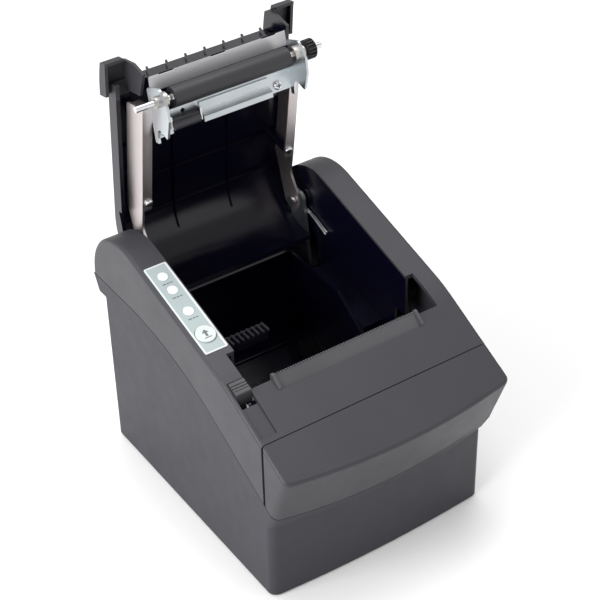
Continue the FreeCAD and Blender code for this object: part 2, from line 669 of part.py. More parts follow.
# --- roll bucket ------------------------------------------------------------------------------
def bucket_profile(grow):
    """Side view of the roll bucket's cavity, grown outwards by grow."""
    r = BUCKET_R + grow
    front_y, rear_y = ROLL_Y - r, ROLL_Y + r
    low = ROLL_Z - r
    return [(front_y, BUCKET_REAR_Z + 30), (front_y, low, r - EPS), (rear_y, low, r - EPS),
            (rear_y, BUCKET_REAR_Z + 30)]


def paper_bucket():
    """The round-bottomed bucket that the paper roll drops into, with a rest and guide ribs."""
    half = BUCKET_HALF
    wall = BUCKET_WALL
    outer = side_solid(bucket_profile(wall), -half - wall, half + wall)
    inner = side_solid(bucket_profile(0.0), -half, half)
    tub = outer.cut(inner)
    trim = side_solid([(-FAR / 2, BUCKET_FRONT_Z), (ROLL_Y - 30, BUCKET_FRONT_Z), (ROLL_Y - 6, BUCKET_REAR_Z),
                       (FAR / 2, BUCKET_REAR_Z), (FAR / 2, FAR), (-FAR / 2, FAR)], -FAR / 2, FAR / 2)
    tub = tub.cut(trim)
    ribs = []
    for y_angle in (205, 225, 245, 300, 322):
        a = math.radians(y_angle)
        ribs.append(rod_x(-half - EPS, half + EPS, ROLL_Y + (BUCKET_R - 0.2) * math.cos(a),
                          ROLL_Z + (BUCKET_R - 0.2) * math.sin(a), 1.2))
    lip = box(-half - wall, half + wall, ROLL_Y - BUCKET_R - 9, ROLL_Y - BUCKET_R - wall + 0.5,
              BUCKET_FRONT_Z - 2, BUCKET_FRONT_Z)
    return joined([tub] + ribs + [lip])


def roll_guides():
    """Arched ribs on each bucket side that keep the roll's rim off the wall."""
    arcs = []
    for r in (22.0, 31.0):
        ring = rod_x(BUCKET_HALF - 1.4, BUCKET_HALF, ROLL_Y, ROLL_Z, r + 0.8)
        ring = ring.cut(rod_x(BUCKET_HALF - 2, BUCKET_HALF + 1, ROLL_Y, ROLL_Z, r - 0.8))
        arcs.append(ring)
    arcs = [a.common(box(-FAR / 2, FAR / 2, -FAR / 2, FAR / 2, 40, BUCKET_FRONT_Z - 1)) for a in arcs]
    bars = [a for a in arcs]
    return Part.makeCompound(bars + [mirrored(a) for a in bars])


def side_floors():
    """Sloping floors each side of the bucket, under the lid's arms, that carry the bucket."""
    front_y = FRAME_REAR_Y + 12
    rear_y = HINGE_Y - 28
    low, high = BUCKET_FRONT_Z + 2, BUCKET_REAR_Z - 2
    inner = BUCKET_HALF + BUCKET_WALL
    floor = side_solid([(front_y, low + 2), (front_y, low), (rear_y, high), (rear_y, high + 2)],
                       inner, LID_HALF + LID_CLEAR)
    web = side_solid([(front_y, low + 0.5), (front_y, low - 4), (rear_y, low - 4), (rear_y, high + 0.5)],
                     inner, inner + 1.6)
    return both_sides(joined([floor, web]))


def near_end_sensor():
    """The small black sensor over the roll, on a bracket from the bucket's left wall."""
    inner = -BUCKET_HALF
    body = plan_solid([(inner - BUCKET_WALL, SENSOR_Y - 3.5, 1), (inner + 23, SENSOR_Y - 3.5, 1),
                       (inner + 25, SENSOR_Y - 1.0, 1.2), (inner + 25, SENSOR_Y + 3.5, 1),
                       (inner - BUCKET_WALL, SENSOR_Y + 3.5, 1)], SENSOR_Z, SENSOR_Z + 5.6)
    web = side_solid([(SENSOR_Y - 3.5, bucket_top(SENSOR_Y - 3.5)),
                      (SENSOR_Y + 3.5, bucket_top(SENSOR_Y + 3.5)),
                      (SENSOR_Y + 3.5, SENSOR_Z + 0.1), (SENSOR_Y - 3.5, SENSOR_Z + 0.1)],
                      inner - BUCKET_WALL, inner)
    return joined([body, web])


def bucket_top(y):
    """Height of the bucket wall's top edge at a given y on its slanting stretch."""
    share = (y - (ROLL_Y - 30)) / 24.0
    return BUCKET_FRONT_Z + min(max(share, 0.0), 1.0) * (BUCKET_REAR_Z - BUCKET_FRONT_Z)


# --- lid --------------------------------------------------------------------------------------
def lid_skin(sink, half, low_z):
    """The lid's skin outline filled down, from its front edge to the rear skirt."""
    body = under_top(sink, half).common(box(-half, half, LID_FRONT_Y, FAR / 2, low_z, FAR / 2))
    return body


def lid_shell():
    """The lid moulding: curved skin, side rims, front box with diagonal ribs, and two ears."""
    outer = lid_skin(LID_SINK, LID_HALF, LID_REAR_Z)
    inner = under_top(LID_SINK + WALL, LID_HALF - WALL)
    skin = outer.cut(inner)
    rim_cut = under_top(LID_SINK + LID_RIM, LID_HALF + 1)
    skin = skin.cut(rim_cut)
    skin = skin.cut(shoulder_relief())
    parts = [skin, lid_front_box()]
    parts += [ear(1.0), ear(-1.0)]
    parts += lid_ribs() + lid_bosses()
    return joined(parts)


def lid_bosses():
    """Screw bosses from the skin down to the steel arms and to the cross plate."""
    under_skin = under_top(LID_SINK + 1, LID_HALF)
    plate_bosses = [rod_z(x, y, PLATE_Z + STEEL, FAR / 2,
                          3.4).common(under_skin).cut(rod_z(x, y, 100, 109, SCREW_R))
                    for x, y in PLATE_SCREWS]
    arm_boss = on_arm(rod_z(ARM_SCREW_X, 0, STEEL, 60, 2.5), ARM_SCREW_Y).common(under_skin)
    arm_hole = on_arm(rod_z(ARM_SCREW_X, 0, -1, 6, SCREW_R), ARM_SCREW_Y)
    return plate_bosses + [joined_pair(arm_boss.cut(arm_hole))]


def shoulder_relief():
    """Space behind the hinge for the fixed pivot posts."""
    post = box(ARM_OUT + 0.6, LID_HALF + 1, HINGE_Y - 26, FAR / 2, 0, LID_REAR_Z + 26)
    return joined_pair(post)


def lid_front_box():
    """The thick front edge of the lid, with diagonal ribs facing the paper path."""
    depth = 19.0
    face = side_solid([(LID_FRONT_Y, deck_z(LID_FRONT_Y) - LID_SINK - WALL),
                       (LID_FRONT_Y + 2.0, deck_z(LID_FRONT_Y) - 3.5),
                       (LID_FRONT_Y + 2.0, deck_z(LID_FRONT_Y) - depth),
                       (LID_FRONT_Y, deck_z(LID_FRONT_Y) - depth)],
                      -EAR_IN + 1, EAR_IN - 1)
    floor = side_solid([(LID_FRONT_Y - 3.2, deck_z(LID_FRONT_Y) - depth),
                        (LID_FRONT_Y + 4, deck_z(LID_FRONT_Y) - depth),
                        (LID_FRONT_Y + 4, deck_z(LID_FRONT_Y) - depth - 1.6),
                        (LID_FRONT_Y - 3.2, deck_z(LID_FRONT_Y) - depth - 1.6)], -EAR_IN + 1, EAR_IN - 1)
    ribs = []
    top = deck_z(LID_FRONT_Y) - 4.0
    low = deck_z(LID_FRONT_Y) - depth - 0.5
    for i in range(7):
        x = -EAR_IN + 5.0 + i * (EAR_IN - 8.0) / 3
        rib = front_solid([(x, low), (x + 1.4, low), (x + 7.4, top), (x + 6.0, top)], LID_FRONT_Y - 2.6,
                          LID_FRONT_Y + 0.5)
        ribs.append(rib.common(box(-EAR_IN + 1, EAR_IN - 1, -FAR / 2, FAR / 2, 0, FAR)))
    return joined([face, floor] + ribs)


def ear(side):
    """One of the two ears that reach forward beside the paper slot."""
    inner_x, outer_x = EAR_IN, EAR_OUT
    whole = under_top(LID_SINK - 1.5, FAR / 2)
    patch_zone = box(inner_x, outer_x, EAR_FRONT_Y, EAR_REAR_Y, 0, FAR)
    patch = whole.common(patch_zone).cut(under_top(LID_SINK - 1.5 + WALL, FAR / 2))
    plate = side_solid([(EAR_FRONT_Y, deck_z(EAR_FRONT_Y) - 0.4), (EAR_FRONT_Y, deck_z(EAR_FRONT_Y) - 4),
                        (-38.4, deck_z(EAR_FRONT_Y) - EAR_DEPTH),
                        (EAR_REAR_Y, deck_z(EAR_REAR_Y) - EAR_DEPTH),
                        (EAR_REAR_Y, deck_z(EAR_REAR_Y) - 0.5), (KNEE_Y, KNEE_Z - 0.5)], inner_x,
                        inner_x + 1.8)
    rim = side_solid([(EAR_FRONT_Y, deck_z(EAR_FRONT_Y) - 0.5), (EAR_FRONT_Y, deck_z(EAR_FRONT_Y) - 5.5),
                      (EAR_REAR_Y, deck_z(EAR_REAR_Y) - 7.0), (EAR_REAR_Y, deck_z(EAR_REAR_Y) - 0.5),
                      (KNEE_Y, KNEE_Z - 0.5)], outer_x - 1.8, outer_x)
    front = box(inner_x, outer_x, EAR_FRONT_Y, EAR_FRONT_Y + 1.6, deck_z(EAR_FRONT_Y) - 5.5,
                deck_z(EAR_FRONT_Y) - 0.5)
    tie = box(inner_x, LID_HALF, EAR_REAR_Y - 6, EAR_REAR_Y + 4, deck_z(EAR_REAR_Y) - 5,
              deck_z(EAR_REAR_Y) - 3.0)
    notch = box(inner_x - 1, TEAR_HALF + 0.9, EAR_FRONT_Y - 1, TEAR_REAR_Y + 1.2, 0, FAR)
    one = joined([patch, plate, rim, front, tie]).cut(notch)
    return one if side > 0 else mirrored(one)


def lid_ribs():
    """Stiffening ribs under the lid's skin."""
    ribs = []
    for y in (HINGE_Y - 66, HINGE_Y - 42, HINGE_Y - 18):
        rib = box(-LID_HALF + 1, LID_HALF - 1, y, y + 1.4, 0, FAR)
        rib = rib.common(under_top(LID_SINK + 1, LID_HALF)).cut(under_top(LID_SINK + WALL + 2.2, FAR / 2))
        ribs.append(rib)
    for x in (-18.0, 18.0):
        rib = box(x - 0.7, x + 0.7, LID_FRONT_Y + 1, HINGE_Y - 2, 0, FAR)
        rib = rib.common(under_top(LID_SINK + 1, LID_HALF)).cut(under_top(LID_SINK + WALL + 1.6, FAR / 2))
        ribs.append(rib)
    return ribs


def arm_line(y):
    """Height of the lid arm's lower flange when the lid is shut."""
    return ARM_FRONT_Z + ARM_SLOPE * (y - ARM_FRONT_Y)


def on_arm(shape, y):
    """Place a piece made flat at the origin onto the arm's lower flange at a given y."""
    copy = shape.copy()
    copy.rotate(VEC(0, 0, 0), VEC(1, 0, 0), math.degrees(math.atan(ARM_SLOPE)))
    copy.translate(VEC(0, y, arm_line(y)))
    return copy


def lid_arm():
    """The right-hand steel arm: an L-section along the lid, cranked down to the hinge."""
    front = ARM_FRONT_Y
    bend = HINGE_Y - 30.0
    web = side_solid([(front, arm_line(front)), (front, arm_line(front) + ARM_TALL, 2),
                      (bend, arm_line(bend) + ARM_TALL, 3), (HINGE_Y - 16, HINGE_Z + 10.6, 6),
                      (HINGE_Y + 5.5, HINGE_Z + 8.5, 6), (HINGE_Y + 5.5, HINGE_Z - 5.5, 5.4),
                      (HINGE_Y - 5.5, HINGE_Z - 5.5, 5.4), (HINGE_Y - 18, HINGE_Z - 0.4, 8),
                      (bend, arm_line(bend), 3)],
                     ARM_OUT - STEEL, ARM_OUT)
    flange = on_arm(box(ARM_IN, ARM_OUT, 0, math.hypot(1, ARM_SLOPE) * (bend - front), 0, STEEL), front)
    head = box(ARM_IN, ARM_OUT, front, front + STEEL, arm_line(front), arm_line(front) + ARM_TALL - 3)
    arm = joined([web, flange, head])
    arm = arm.cut([rod_x(0, FAR / 2, HINGE_Y, HINGE_Z, SHAFT_R + SHAFT_CLEAR)])
    drill = on_arm(rod_z(ARM_SCREW_X, 0, -5, 7, SCREW_R), ARM_SCREW_Y)
    return arm.cut(drill)


def lid_arms():
    """Both steel arms."""
    return both_sides(lid_arm())


def cross_plate():
    """The zinc-plated cross plate between the arms, with the cheeks that hold the platen."""
    top = PLATE_Z + STEEL
    rear = 0.5
    plate = box(-ARM_IN, ARM_IN, -15.0, -9.5, PLATE_Z, top)
    tabs = [box(ARM_IN - 16, ARM_IN, -9.6, -3.5, PLATE_Z, top),
            box(-ARM_IN, 10.6 - ARM_IN, -9.6, -1.5, PLATE_Z, top)]
    side = side_solid([(-30.5, top, 2), (-33.0, 91.0, 3), (-24.0, 85.4, 2), (-16.0, 85.6, 3), (-4.6, 90.6, 1),
                       (-9.5, 99.5, 3), (rear, 102.5, 1), (rear, top)], ARM_IN - STEEL, ARM_IN)
    side = side.cut(rod_x(0, FAR / 2, PLATEN_Y, PLATEN_Z, SHAFT_R + BUSH_WALL))
    tail = box(ARM_IN - STEEL, ARM_IN, -9.0, rear, PLATE_Z - 1.8, top)
    holes = [rod_z(x, -12.3, 90, 120, 1.3) for x in (-26.0, 26.0)]
    holes += [rod_z(x, y, 90, 120, SCREW_R) for x, y in PLATE_SCREWS]
    body = joined([plate, side, mirrored(side), tail, mirrored(tail)] + tabs)
    return body.cut(holes)


def guide_channel():
    """The folded steel channel under the cross plate that steers the paper."""
    top = PLATE_Z
    return side_solid([(-13.8, top), (-13.8, top - 1.1), (-9.5, top - 1.1), (-6.6, top - 4.6),
                       (-3.6, top - 4.6),
                       (-3.6, top - 3.5), (-6.1, top - 3.5), (-9.0, top)], -16.3, ARM_IN - 16.6)


def guide_roller():
    """The free-turning paper guide roller beside the channel."""
    tube = rod_x(-35.2, -19.0, GUIDE_Y, GUIDE_Z, GUIDE_R)
    return tube.cut(rod_x(-36, -18, GUIDE_Y, GUIDE_Z, GUIDE_PIN_R + SHAFT_CLEAR))


def guide_pin():
    """The bright pin that the guide roller turns on, with its two lugs."""
    pin = rod_x(-36.6, -17.3, GUIDE_Y, GUIDE_Z, GUIDE_PIN_R)
    lugs = [box(x, x + 0.9, GUIDE_Y - 5, GUIDE_Y + 2, GUIDE_Z - 1.6, PLATE_Z) for x in (-36.4, -18.4)]
    return joined([pin] + lugs)


def fixed_blade():
    """The fixed cutter blade along the lid's front edge, with three notches."""
    rear = LID_FRONT_Y + 3.5
    blade = side_solid([(BLADE_EDGE_Y, BLADE_Z), (rear, BLADE_Z), (rear, BLADE_Z + 1.2),
                        (BLADE_EDGE_Y + 1.2, BLADE_Z + 1.2)], -ARM_IN + 1.5, ARM_IN - 1.5)
    notches = [box(x - 4.5, x + 4.5, BLADE_EDGE_Y - 1, BLADE_EDGE_Y + 0.9, BLADE_Z - 1, BLADE_Z + 3)
               for x in (12.0 - ARM_IN, 0.0, ARM_IN - 12.0)]
    return blade.cut(notches)


def blade_holder():
    """The dark holder that carries the fixed blade between the platen's side plates."""
    rear = LID_FRONT_Y + 3.5
    return box(-ARM_IN + STEEL, ARM_IN - STEEL, rear, rear + 9.0, BLADE_Z - 0.6, BLADE_Z + 1.4)


def platen_rubber():
    """The rubber platen roller."""
    sleeve = rod_x(-PLATEN_HALF, PLATEN_HALF, PLATEN_Y, PLATEN_Z, PLATEN_R)
    return sleeve.cut(rod_x(-FAR / 2, FAR / 2, PLATEN_Y, PLATEN_Z, SHAFT_R + 1.0))


def platen_shaft():
    """The platen's steel shaft, thicker under the rubber."""
    core = rod_x(-PLATEN_HALF, PLATEN_HALF, PLATEN_Y, PLATEN_Z, SHAFT_R + 1.0)
    reach = FRAME_X + STEEL + 0.6
    return joined([core, rod_x(-reach, reach, PLATEN_Y, PLATEN_Z, SHAFT_R)])


def platen_bushings():
    """Two plain bearings that seat in the lid's side plates."""
    outer = SHAFT_R + BUSH_WALL
    inner_x = ARM_IN - STEEL
    bush = joined([rod_x(inner_x - 3.0, ARM_IN + 2.6, PLATEN_Y, PLATEN_Z, outer),
                   rod_x(inner_x - 3.0, inner_x, PLATEN_Y, PLATEN_Z, outer + 1.0)])
    bush = bush.cut(rod_x(0, FAR / 2, PLATEN_Y, PLATEN_Z, SHAFT_R + SHAFT_CLEAR))
    return both_sides(bush)


def platen_gear():
    """The platen's drive gear and thumb disc on the right-hand shaft end."""
    return gear(PLATEN_TEETH, MODULE, GEAR_X, GEAR_X + GEAR_THICK, PLATEN_Y, PLATEN_Z, SHAFT_R, IDLER_ANGLE)


def lid_screws():
    """Screws that hold the steel arms and the cross plate to the lid."""
    arm_screw = joined([rod_z(ARM_SCREW_X, 0, -1.6, 0, 2.1), rod_z(ARM_SCREW_X, 0, -0.3, 5.5, SCREW_R)])
    plate_screws = [joined([rod_z(x, y, PLATE_Z - 2.0, PLATE_Z, 2.5),
                            rod_z(x, y, PLATE_Z - 0.3, 108.5, SCREW_R)])
                    for x, y in PLATE_SCREWS]
    right = on_arm(arm_screw, ARM_SCREW_Y)
    return Part.makeCompound([right, mirrored(right)] + plate_screws)


# --- hinge ------------------------------------------------------------------------------------
def hinge_pins():
    """Two headed pins from the shoulder posts into the lid's arms."""
    pin = rod_x(ARM_OUT - STEEL - 1.0, ARM_OUT + 4.0, HINGE_Y, HINGE_Z, SHAFT_R)
    head = rod_x(ARM_OUT - STEEL - 2.4, ARM_OUT - STEEL - 0.6, HINGE_Y, HINGE_Z, SHAFT_R + 1.6)
    return both_sides(joined([pin, head]))


def hinge_posts():
    """Steel posts inside the shoulders that carry the hinge pins."""
    post = side_solid([(HINGE_Y - 6, HINGE_Z + 6, 5), (HINGE_Y + 6, HINGE_Z + 6, 5), (HINGE_Y + 6, 88),
                       (HINGE_Y - 12, 88)], ARM_OUT + 1.0, ARM_OUT + 3.0)
    post = post.cut(rod_x(0, FAR / 2, HINGE_Y, HINGE_Z, SHAFT_R))
    foot = box(ARM_OUT + 1.0, BASE_WIDTH / 2 - WALL, HINGE_Y - 12, HINGE_Y + 6, 86.4, 88.4)
    return both_sides(joined([post, foot]))


def lid_spring():
    """The wire torsion spring beside the right-hand pin, with its two long straight legs."""
    coil = rod_x(ARM_OUT + 3.0, ARM_OUT + 5.0, HINGE_Y, HINGE_Z, SHAFT_R + 2.7)
    coil = coil.cut(rod_x(ARM_OUT, ARM_OUT + 9, HINGE_Y, HINGE_Z, SHAFT_R + 1.5))
    legs = []
    for i in range(2):
        start = VEC(ARM_OUT + 3.6 + 0.9 * i, HINGE_Y - 3.5, HINGE_Z - 4.0 + 1.2 * i)
        legs.append(Part.makeCylinder(0.45, 24, start, VEC(0, -0.93, -0.36)))
    return joined([coil] + legs)


# --- print mechanism --------------------------------------------------------------------------
def side_frames():
    """Two steel side frames that carry the latch shaft, the gear train and the platen's ends."""
    plate = side_solid([(FRAME_FRONT_Y, TRAY_TOP), (FRAME_REAR_Y, TRAY_TOP), (FRAME_REAR_Y, 96.0, 4),
                        (-20.0, 102.0, 4), (-44.0, 102.0, 6), (FRAME_FRONT_Y, 96.0, 6)], FRAME_X,
                        FRAME_X + STEEL)
    fit = SHAFT_R + 0.3
    lean = (HINGE_Z - PLATEN_Z) / (HINGE_Y - PLATEN_Y)
    throat = side_solid([(PLATEN_Y - fit - (lean + 0.1) * 40, PLATEN_Z - fit + 40),
                         (PLATEN_Y - fit, PLATEN_Z - fit, fit / 2),
                         (PLATEN_Y + fit, PLATEN_Z - fit, fit / 2), (PLATEN_Y + fit, PLATEN_Z - fit + 40)],
                         0, FAR / 2)
    plate = plate.cut([throat, rod_x(0, FAR / 2, LATCH_Y, LATCH_Z, LATCH_R + SHAFT_CLEAR)])
    foot = box(FRAME_X, FRAME_X + 9.0, FRAME_FRONT_Y, FRAME_REAR_Y, TRAY_TOP, TRAY_TOP + STEEL)
    return both_sides(joined([plate, foot]))


def mechanism_tray():
    """The moulded tray that ties the side frames together under the print head."""
    tray = box(-FRAME_X - 9, FRAME_X + 9, FRAME_FRONT_Y, FRAME_REAR_Y - 5, TRAY_TOP - 2.0, TRAY_TOP)
    well = box(ARM_IN - 27, ARM_IN - 1, MOTOR_Y - MOTOR_R - 0.6, MOTOR_Y + MOTOR_R + 0.6, 50, 70)
    legs = [box(x - 3, x + 3, y - 3, y + 3, BOARD_Z + BOARD_THICK, TRAY_TOP - 1)
            for x in (-PANEL_HALF + 4, PANEL_HALF - 4) for y in (-62.0, -24.0)]
    return joined([tray.cut(well)] + legs)


def idler_gear():
    """The idler between the motor pinion and the platen gear."""
    return gear(IDLER_TEETH, MODULE, GEAR_X, GEAR_X + GEAR_THICK - 0.6, IDLER_Y, IDLER_Z, 2.0 + SHAFT_CLEAR,
                IDLER_TURN)


def idler_pin():
    """The stub pin on the right-hand side frame that the idler turns on."""
    return rod_x(GEAR_X - 0.6, FRAME_X, IDLER_Y, IDLER_Z, 2.0)


def motor_pinion():
    """The feed motor's pinion, meshed with the idler."""
    body = gear(PINION_TEETH, MODULE, GEAR_X, GEAR_X + GEAR_THICK - 0.6, MOTOR_Y, MOTOR_Z, 0, PINION_TURN)
    return joined([body, rod_x(ARM_IN - 4.0, GEAR_X + 0.1, MOTOR_Y, MOTOR_Z, 1.5)])


def feed_motor():
    """The stepper motor that turns the platen through the gear train."""
    front_x = ARM_IN - 3.0
    can = rod_x(front_x - 23.0, front_x, MOTOR_Y, MOTOR_Z, MOTOR_R)
    ear_y = MOTOR_R + 4.0
    flange = side_solid([(MOTOR_Y - ear_y, TRAY_TOP), (MOTOR_Y + ear_y, TRAY_TOP),
                         (MOTOR_Y + ear_y, MOTOR_Z + 2, 4),
                         (MOTOR_Y + 5, MOTOR_Z + 9.5, 4), (MOTOR_Y - 5, MOTOR_Z + 9.5, 4),
                         (MOTOR_Y - ear_y, MOTOR_Z + 2, 4)], front_x - EPS, front_x + STEEL)
    body = joined([can, flange])
    return body.cut(rod_x(front_x - 9, front_x + 4, MOTOR_Y, MOTOR_Z, 1.5 + SHAFT_CLEAR))


def print_head():
    """The thermal print head: a finned aluminium heat sink behind the ceramic strip."""
    plate = box(-PLATEN_HALF - 4, PLATEN_HALF + 4, -6.0, -1.0, -11.0, 8.0)
    fins = [box(-PLATEN_HALF - 2, PLATEN_HALF + 2, -9.0, -5.9, z, z + 1.2) for z in (-9.5, -6.5, -3.5, -0.5)]
    return at_nip(joined([plate] + fins))


def at_nip(shape):
    """Lean a piece made at the origin and carry it to the print line."""
    copy = shape.copy()
    copy.rotate(VEC(0, 0, 0), VEC(1, 0, 0), math.degrees(HEAD_LEAN))
    copy.translate(nip_point())
    return copy


def nip_point():
    """Where the head's face would touch the platen, held off by a paper's thickness."""
    reach = PLATEN_R + 0.35
    return VEC(0, PLATEN_Y - reach * math.cos(HEAD_LEAN), PLATEN_Z - reach * math.sin(HEAD_LEAN))


def head_ceramic():
    """The ceramic heating strip bonded on the head's face."""
    return at_nip(box(-PLATEN_HALF - 3, PLATEN_HALF + 3, -1.0, 0.0, -6.0, 6.0))


def head_bracket():
    """The bent steel bracket behind the head, with two pivot lugs under the head."""
    half = PLATEN_HALF + 6.0
    back = box(-half, half, BRACKET_Y - STEEL, BRACKET_Y, TRAY_TOP, 98.0)
    back = back.cut(box(ARM_IN - 29, FAR, -FAR, FAR, 0, MOTOR_Z + MOTOR_R + 1.5))
    foot = box(-half, ARM_IN - 29, BRACKET_Y - STEEL, nip_point().y - 0.6, TRAY_TOP, TRAY_TOP + STEEL)
    lugs = [box(x - 1.5, x + 1.5, nip_point().y - 3.6, nip_point().y - 1.2, TRAY_TOP + 1,
                nip_point().z - 12.4)
            for x in (-30.0, 10.0)]
    return joined([back, foot] + lugs)


def head_springs():
    """Two coil springs that push the head against the platen."""
    rear = nip_point().y - 7.68
    spring = rod_y(22.0, BRACKET_Y, rear, nip_point().z + 1.74, 2.4)
    spring = spring.cut(rod_y(22.0, BRACKET_Y - 1, rear + 1, nip_point().z + 1.74, 1.6))
    return both_sides(spring)


def cutter_frame():
    """The cutter's frame: a flat steel box in front of the head, with guides for the blade."""
    top = BLADE_Z - 0.2 - MOVING_BLADE_THICK
    half = ARM_IN + 2.0
    front_y, rear_y = CUTTER_Y - 15.0, CUTTER_Y + 12.5
    deck_plate = box(-half, half, front_y, rear_y, top - 2.0, top - 0.1)
    side = box(half - 2.6, half, front_y, rear_y, top - 14.0, top - 1.9)
    rail = box(half - 2.4, half, front_y + 4, rear_y, top - 0.1 - EPS, top + 1.2)
    tab = box(half - 0.1, FRAME_X, CUTTER_Y - 4, CUTTER_Y + 5, top - 12.0, top - 12.0 + STEEL)
    plate = deck_plate.cut(rod_z(CUTTER_X, CUTTER_Y, top - 5, top + 2, 2.0))
    return joined([plate] + [joined_pair(piece) for piece in (side, rail, tab)])


def cutter_blade():
    """The moving blade: a shallow V edge, with a rack along one slot."""
    z0 = BLADE_Z - 0.2 - MOVING_BLADE_THICK
    z1 = BLADE_Z - 0.2
    edge = MOVING_BLADE_EDGE_Y
    half = ARM_IN - 0.8
    blade = plan_solid([(-half, edge), (-half, CUTTER_Y - 14), (half, CUTTER_Y - 14), (half, edge),
                        (half - 13, edge),
                        (0.0, edge - 4.0), (13 - half, edge)], z0, z1)
    slot = box(CUTTER_X - RACK_PITCH_R - 2.2, CUTTER_X + RACK_PITCH_R + 1.15 * RACK_MODULE,
               CUTTER_Y - 11.6, CUTTER_Y + 8.0, z0 - 1, z1 + 1)
    blade = blade.cut(slot)
    pitch = math.pi * RACK_MODULE
    face_x = CUTTER_X + RACK_PITCH_R + 1.15 * RACK_MODULE
    tip_x = CUTTER_X + RACK_PITCH_R - 0.9 * RACK_MODULE
    teeth = []
    for i in range(-4, 3):
        y = CUTTER_Y + (i + 0.5) * pitch
        teeth.append(plan_solid([(face_x + 0.1, y - 0.33 * pitch), (tip_x, y - 0.1 * pitch),
                                 (tip_x, y + 0.1 * pitch), (face_x + 0.1, y + 0.33 * pitch)], z0, z1))
    return joined([blade] + teeth)


def cutter_pinion():
    """The cutter motor's pinion, meshed with the blade's rack."""
    z0 = BLADE_Z - 0.2 - MOVING_BLADE_THICK - 0.05
    flat = gear(RACK_TEETH, RACK_MODULE, 0, MOVING_BLADE_THICK + 0.8, 0, 0, 0)
    flat.rotate(VEC(0, 0, 0), VEC(0, 1, 0), -90)
    flat.rotate(VEC(0, 0, 0), VEC(0, 0, 1), 90)
    flat.translate(VEC(CUTTER_X, CUTTER_Y, z0))
    return joined([flat, rod_z(CUTTER_X, CUTTER_Y, z0 - 4.0, z0 + 0.1, 1.2)])


def cutter_motor():
    """The cutter's small motor, hung under its frame."""
    top = BLADE_Z - 0.2 - MOVING_BLADE_THICK - 2.0
    can = rod_z(CUTTER_X, CUTTER_Y, top - 22.0, top, 10.0)
    return can.cut(rod_z(CUTTER_X, CUTTER_Y, top - 5, top + 1, 1.2 + SHAFT_CLEAR))


# --- base, boards and sockets -----------------------------------------------------------------
def bottom_plate():
    """The steel bottom plate, with four screw holes."""
    inner = BASE_WIDTH / 2 - WALL - 0.3
    plate = box(-inner, inner, -FAR / 2, BASE_REAR - WALL - 0.3, FOOT_RISE, FOOT_RISE + FLOOR_THICK)
    plate = plate.common(front_limit(WALL + 0.3, BASE_WIDTH / 2))
    holes = [rod_z(x, y, 0, 10, SCREW_R + 0.2) for x, y in screw_places()]
    return plate.cut(holes)


def screw_places():
    """Where the four case screws come up through the bottom plate."""
    return [(x, y) for x in (-FOOT_X + 12, FOOT_X - 12) for y in (FOOT_FRONT_Y + 2, FOOT_REAR_Y)]


def case_screws():
    """Four screws up through the bottom plate into the board pillars."""
    screws = []
    for x, y in screw_places():
        head = rod_z(x, y, FOOT_RISE - 0.9, FOOT_RISE, SCREW_HEAD_R)
        screws.append(joined([head, rod_z(x, y, FOOT_RISE - 0.1, BOARD_Z - 0.6, SCREW_R)]))
    return Part.makeCompound(screws)


def board_pillars():
    """Spacers between the bottom plate and the main board."""
    pillars = []
    for x, y in screw_places():
        pillar = rod_z(x, y, FOOT_RISE + FLOOR_THICK, BOARD_Z, 3.2)
        pillars.append(pillar.cut(rod_z(x, y, 0, BOARD_Z + 1, SCREW_R)))
    return Part.makeCompound(pillars)


def rubber_feet():
    """Four round rubber feet."""
    feet = []
    for x in (-FOOT_X, FOOT_X):
        for y in (FOOT_FRONT_Y, FOOT_REAR_Y):
            feet.append(rod_z(x, y, 0, FOOT_RISE, FOOT_R))
    return Part.makeCompound(feet)


def main_board():
    """The main circuit board with its larger components."""
    board = box(-PANEL_HALF, PANEL_HALF, -66.0, PANEL_Y - 0.4, BOARD_Z, BOARD_Z + BOARD_THICK)
    top = BOARD_Z + BOARD_THICK - EPS
    chips = [box(-30, -10, -50, -30, top, top + 2.4), box(10, 24, -52, -40, top, top + 2.0),
             box(-46, -36, -30, -12, top, top + 3.0), rod_z(40, -52, top, top + 14, 6.0),
             rod_z(26, -58, top, top + 11, 4.5), box(-8, 4, -20, -8, top, top + 1.6)]
    return joined([board] + chips)


SOCKETS = (("power_socket", -50.0, 15.0, 13.0), ("drawer_socket", -29.0, 14.0, 12.5),
           ("serial_socket", -1.0, 31.0, 12.5), ("network_socket", 27.5, 16.0, 13.5),
           ("usb_socket", 46.0, 12.4, 11.0))


def socket_box(name, grow=0.0):
    """A socket's outer block: it stands on the board and looks out of the back."""
    for known, x, wide, tall in SOCKETS:
        if known == name:
            low = BOARD_Z + BOARD_THICK
            return box(x - wide / 2 - grow, x + wide / 2 + grow, SOCKET_FRONT_Y, PANEL_Y + PANEL_THICK + 0.8,
                       low, low + tall + grow)
    raise ValueError(name)


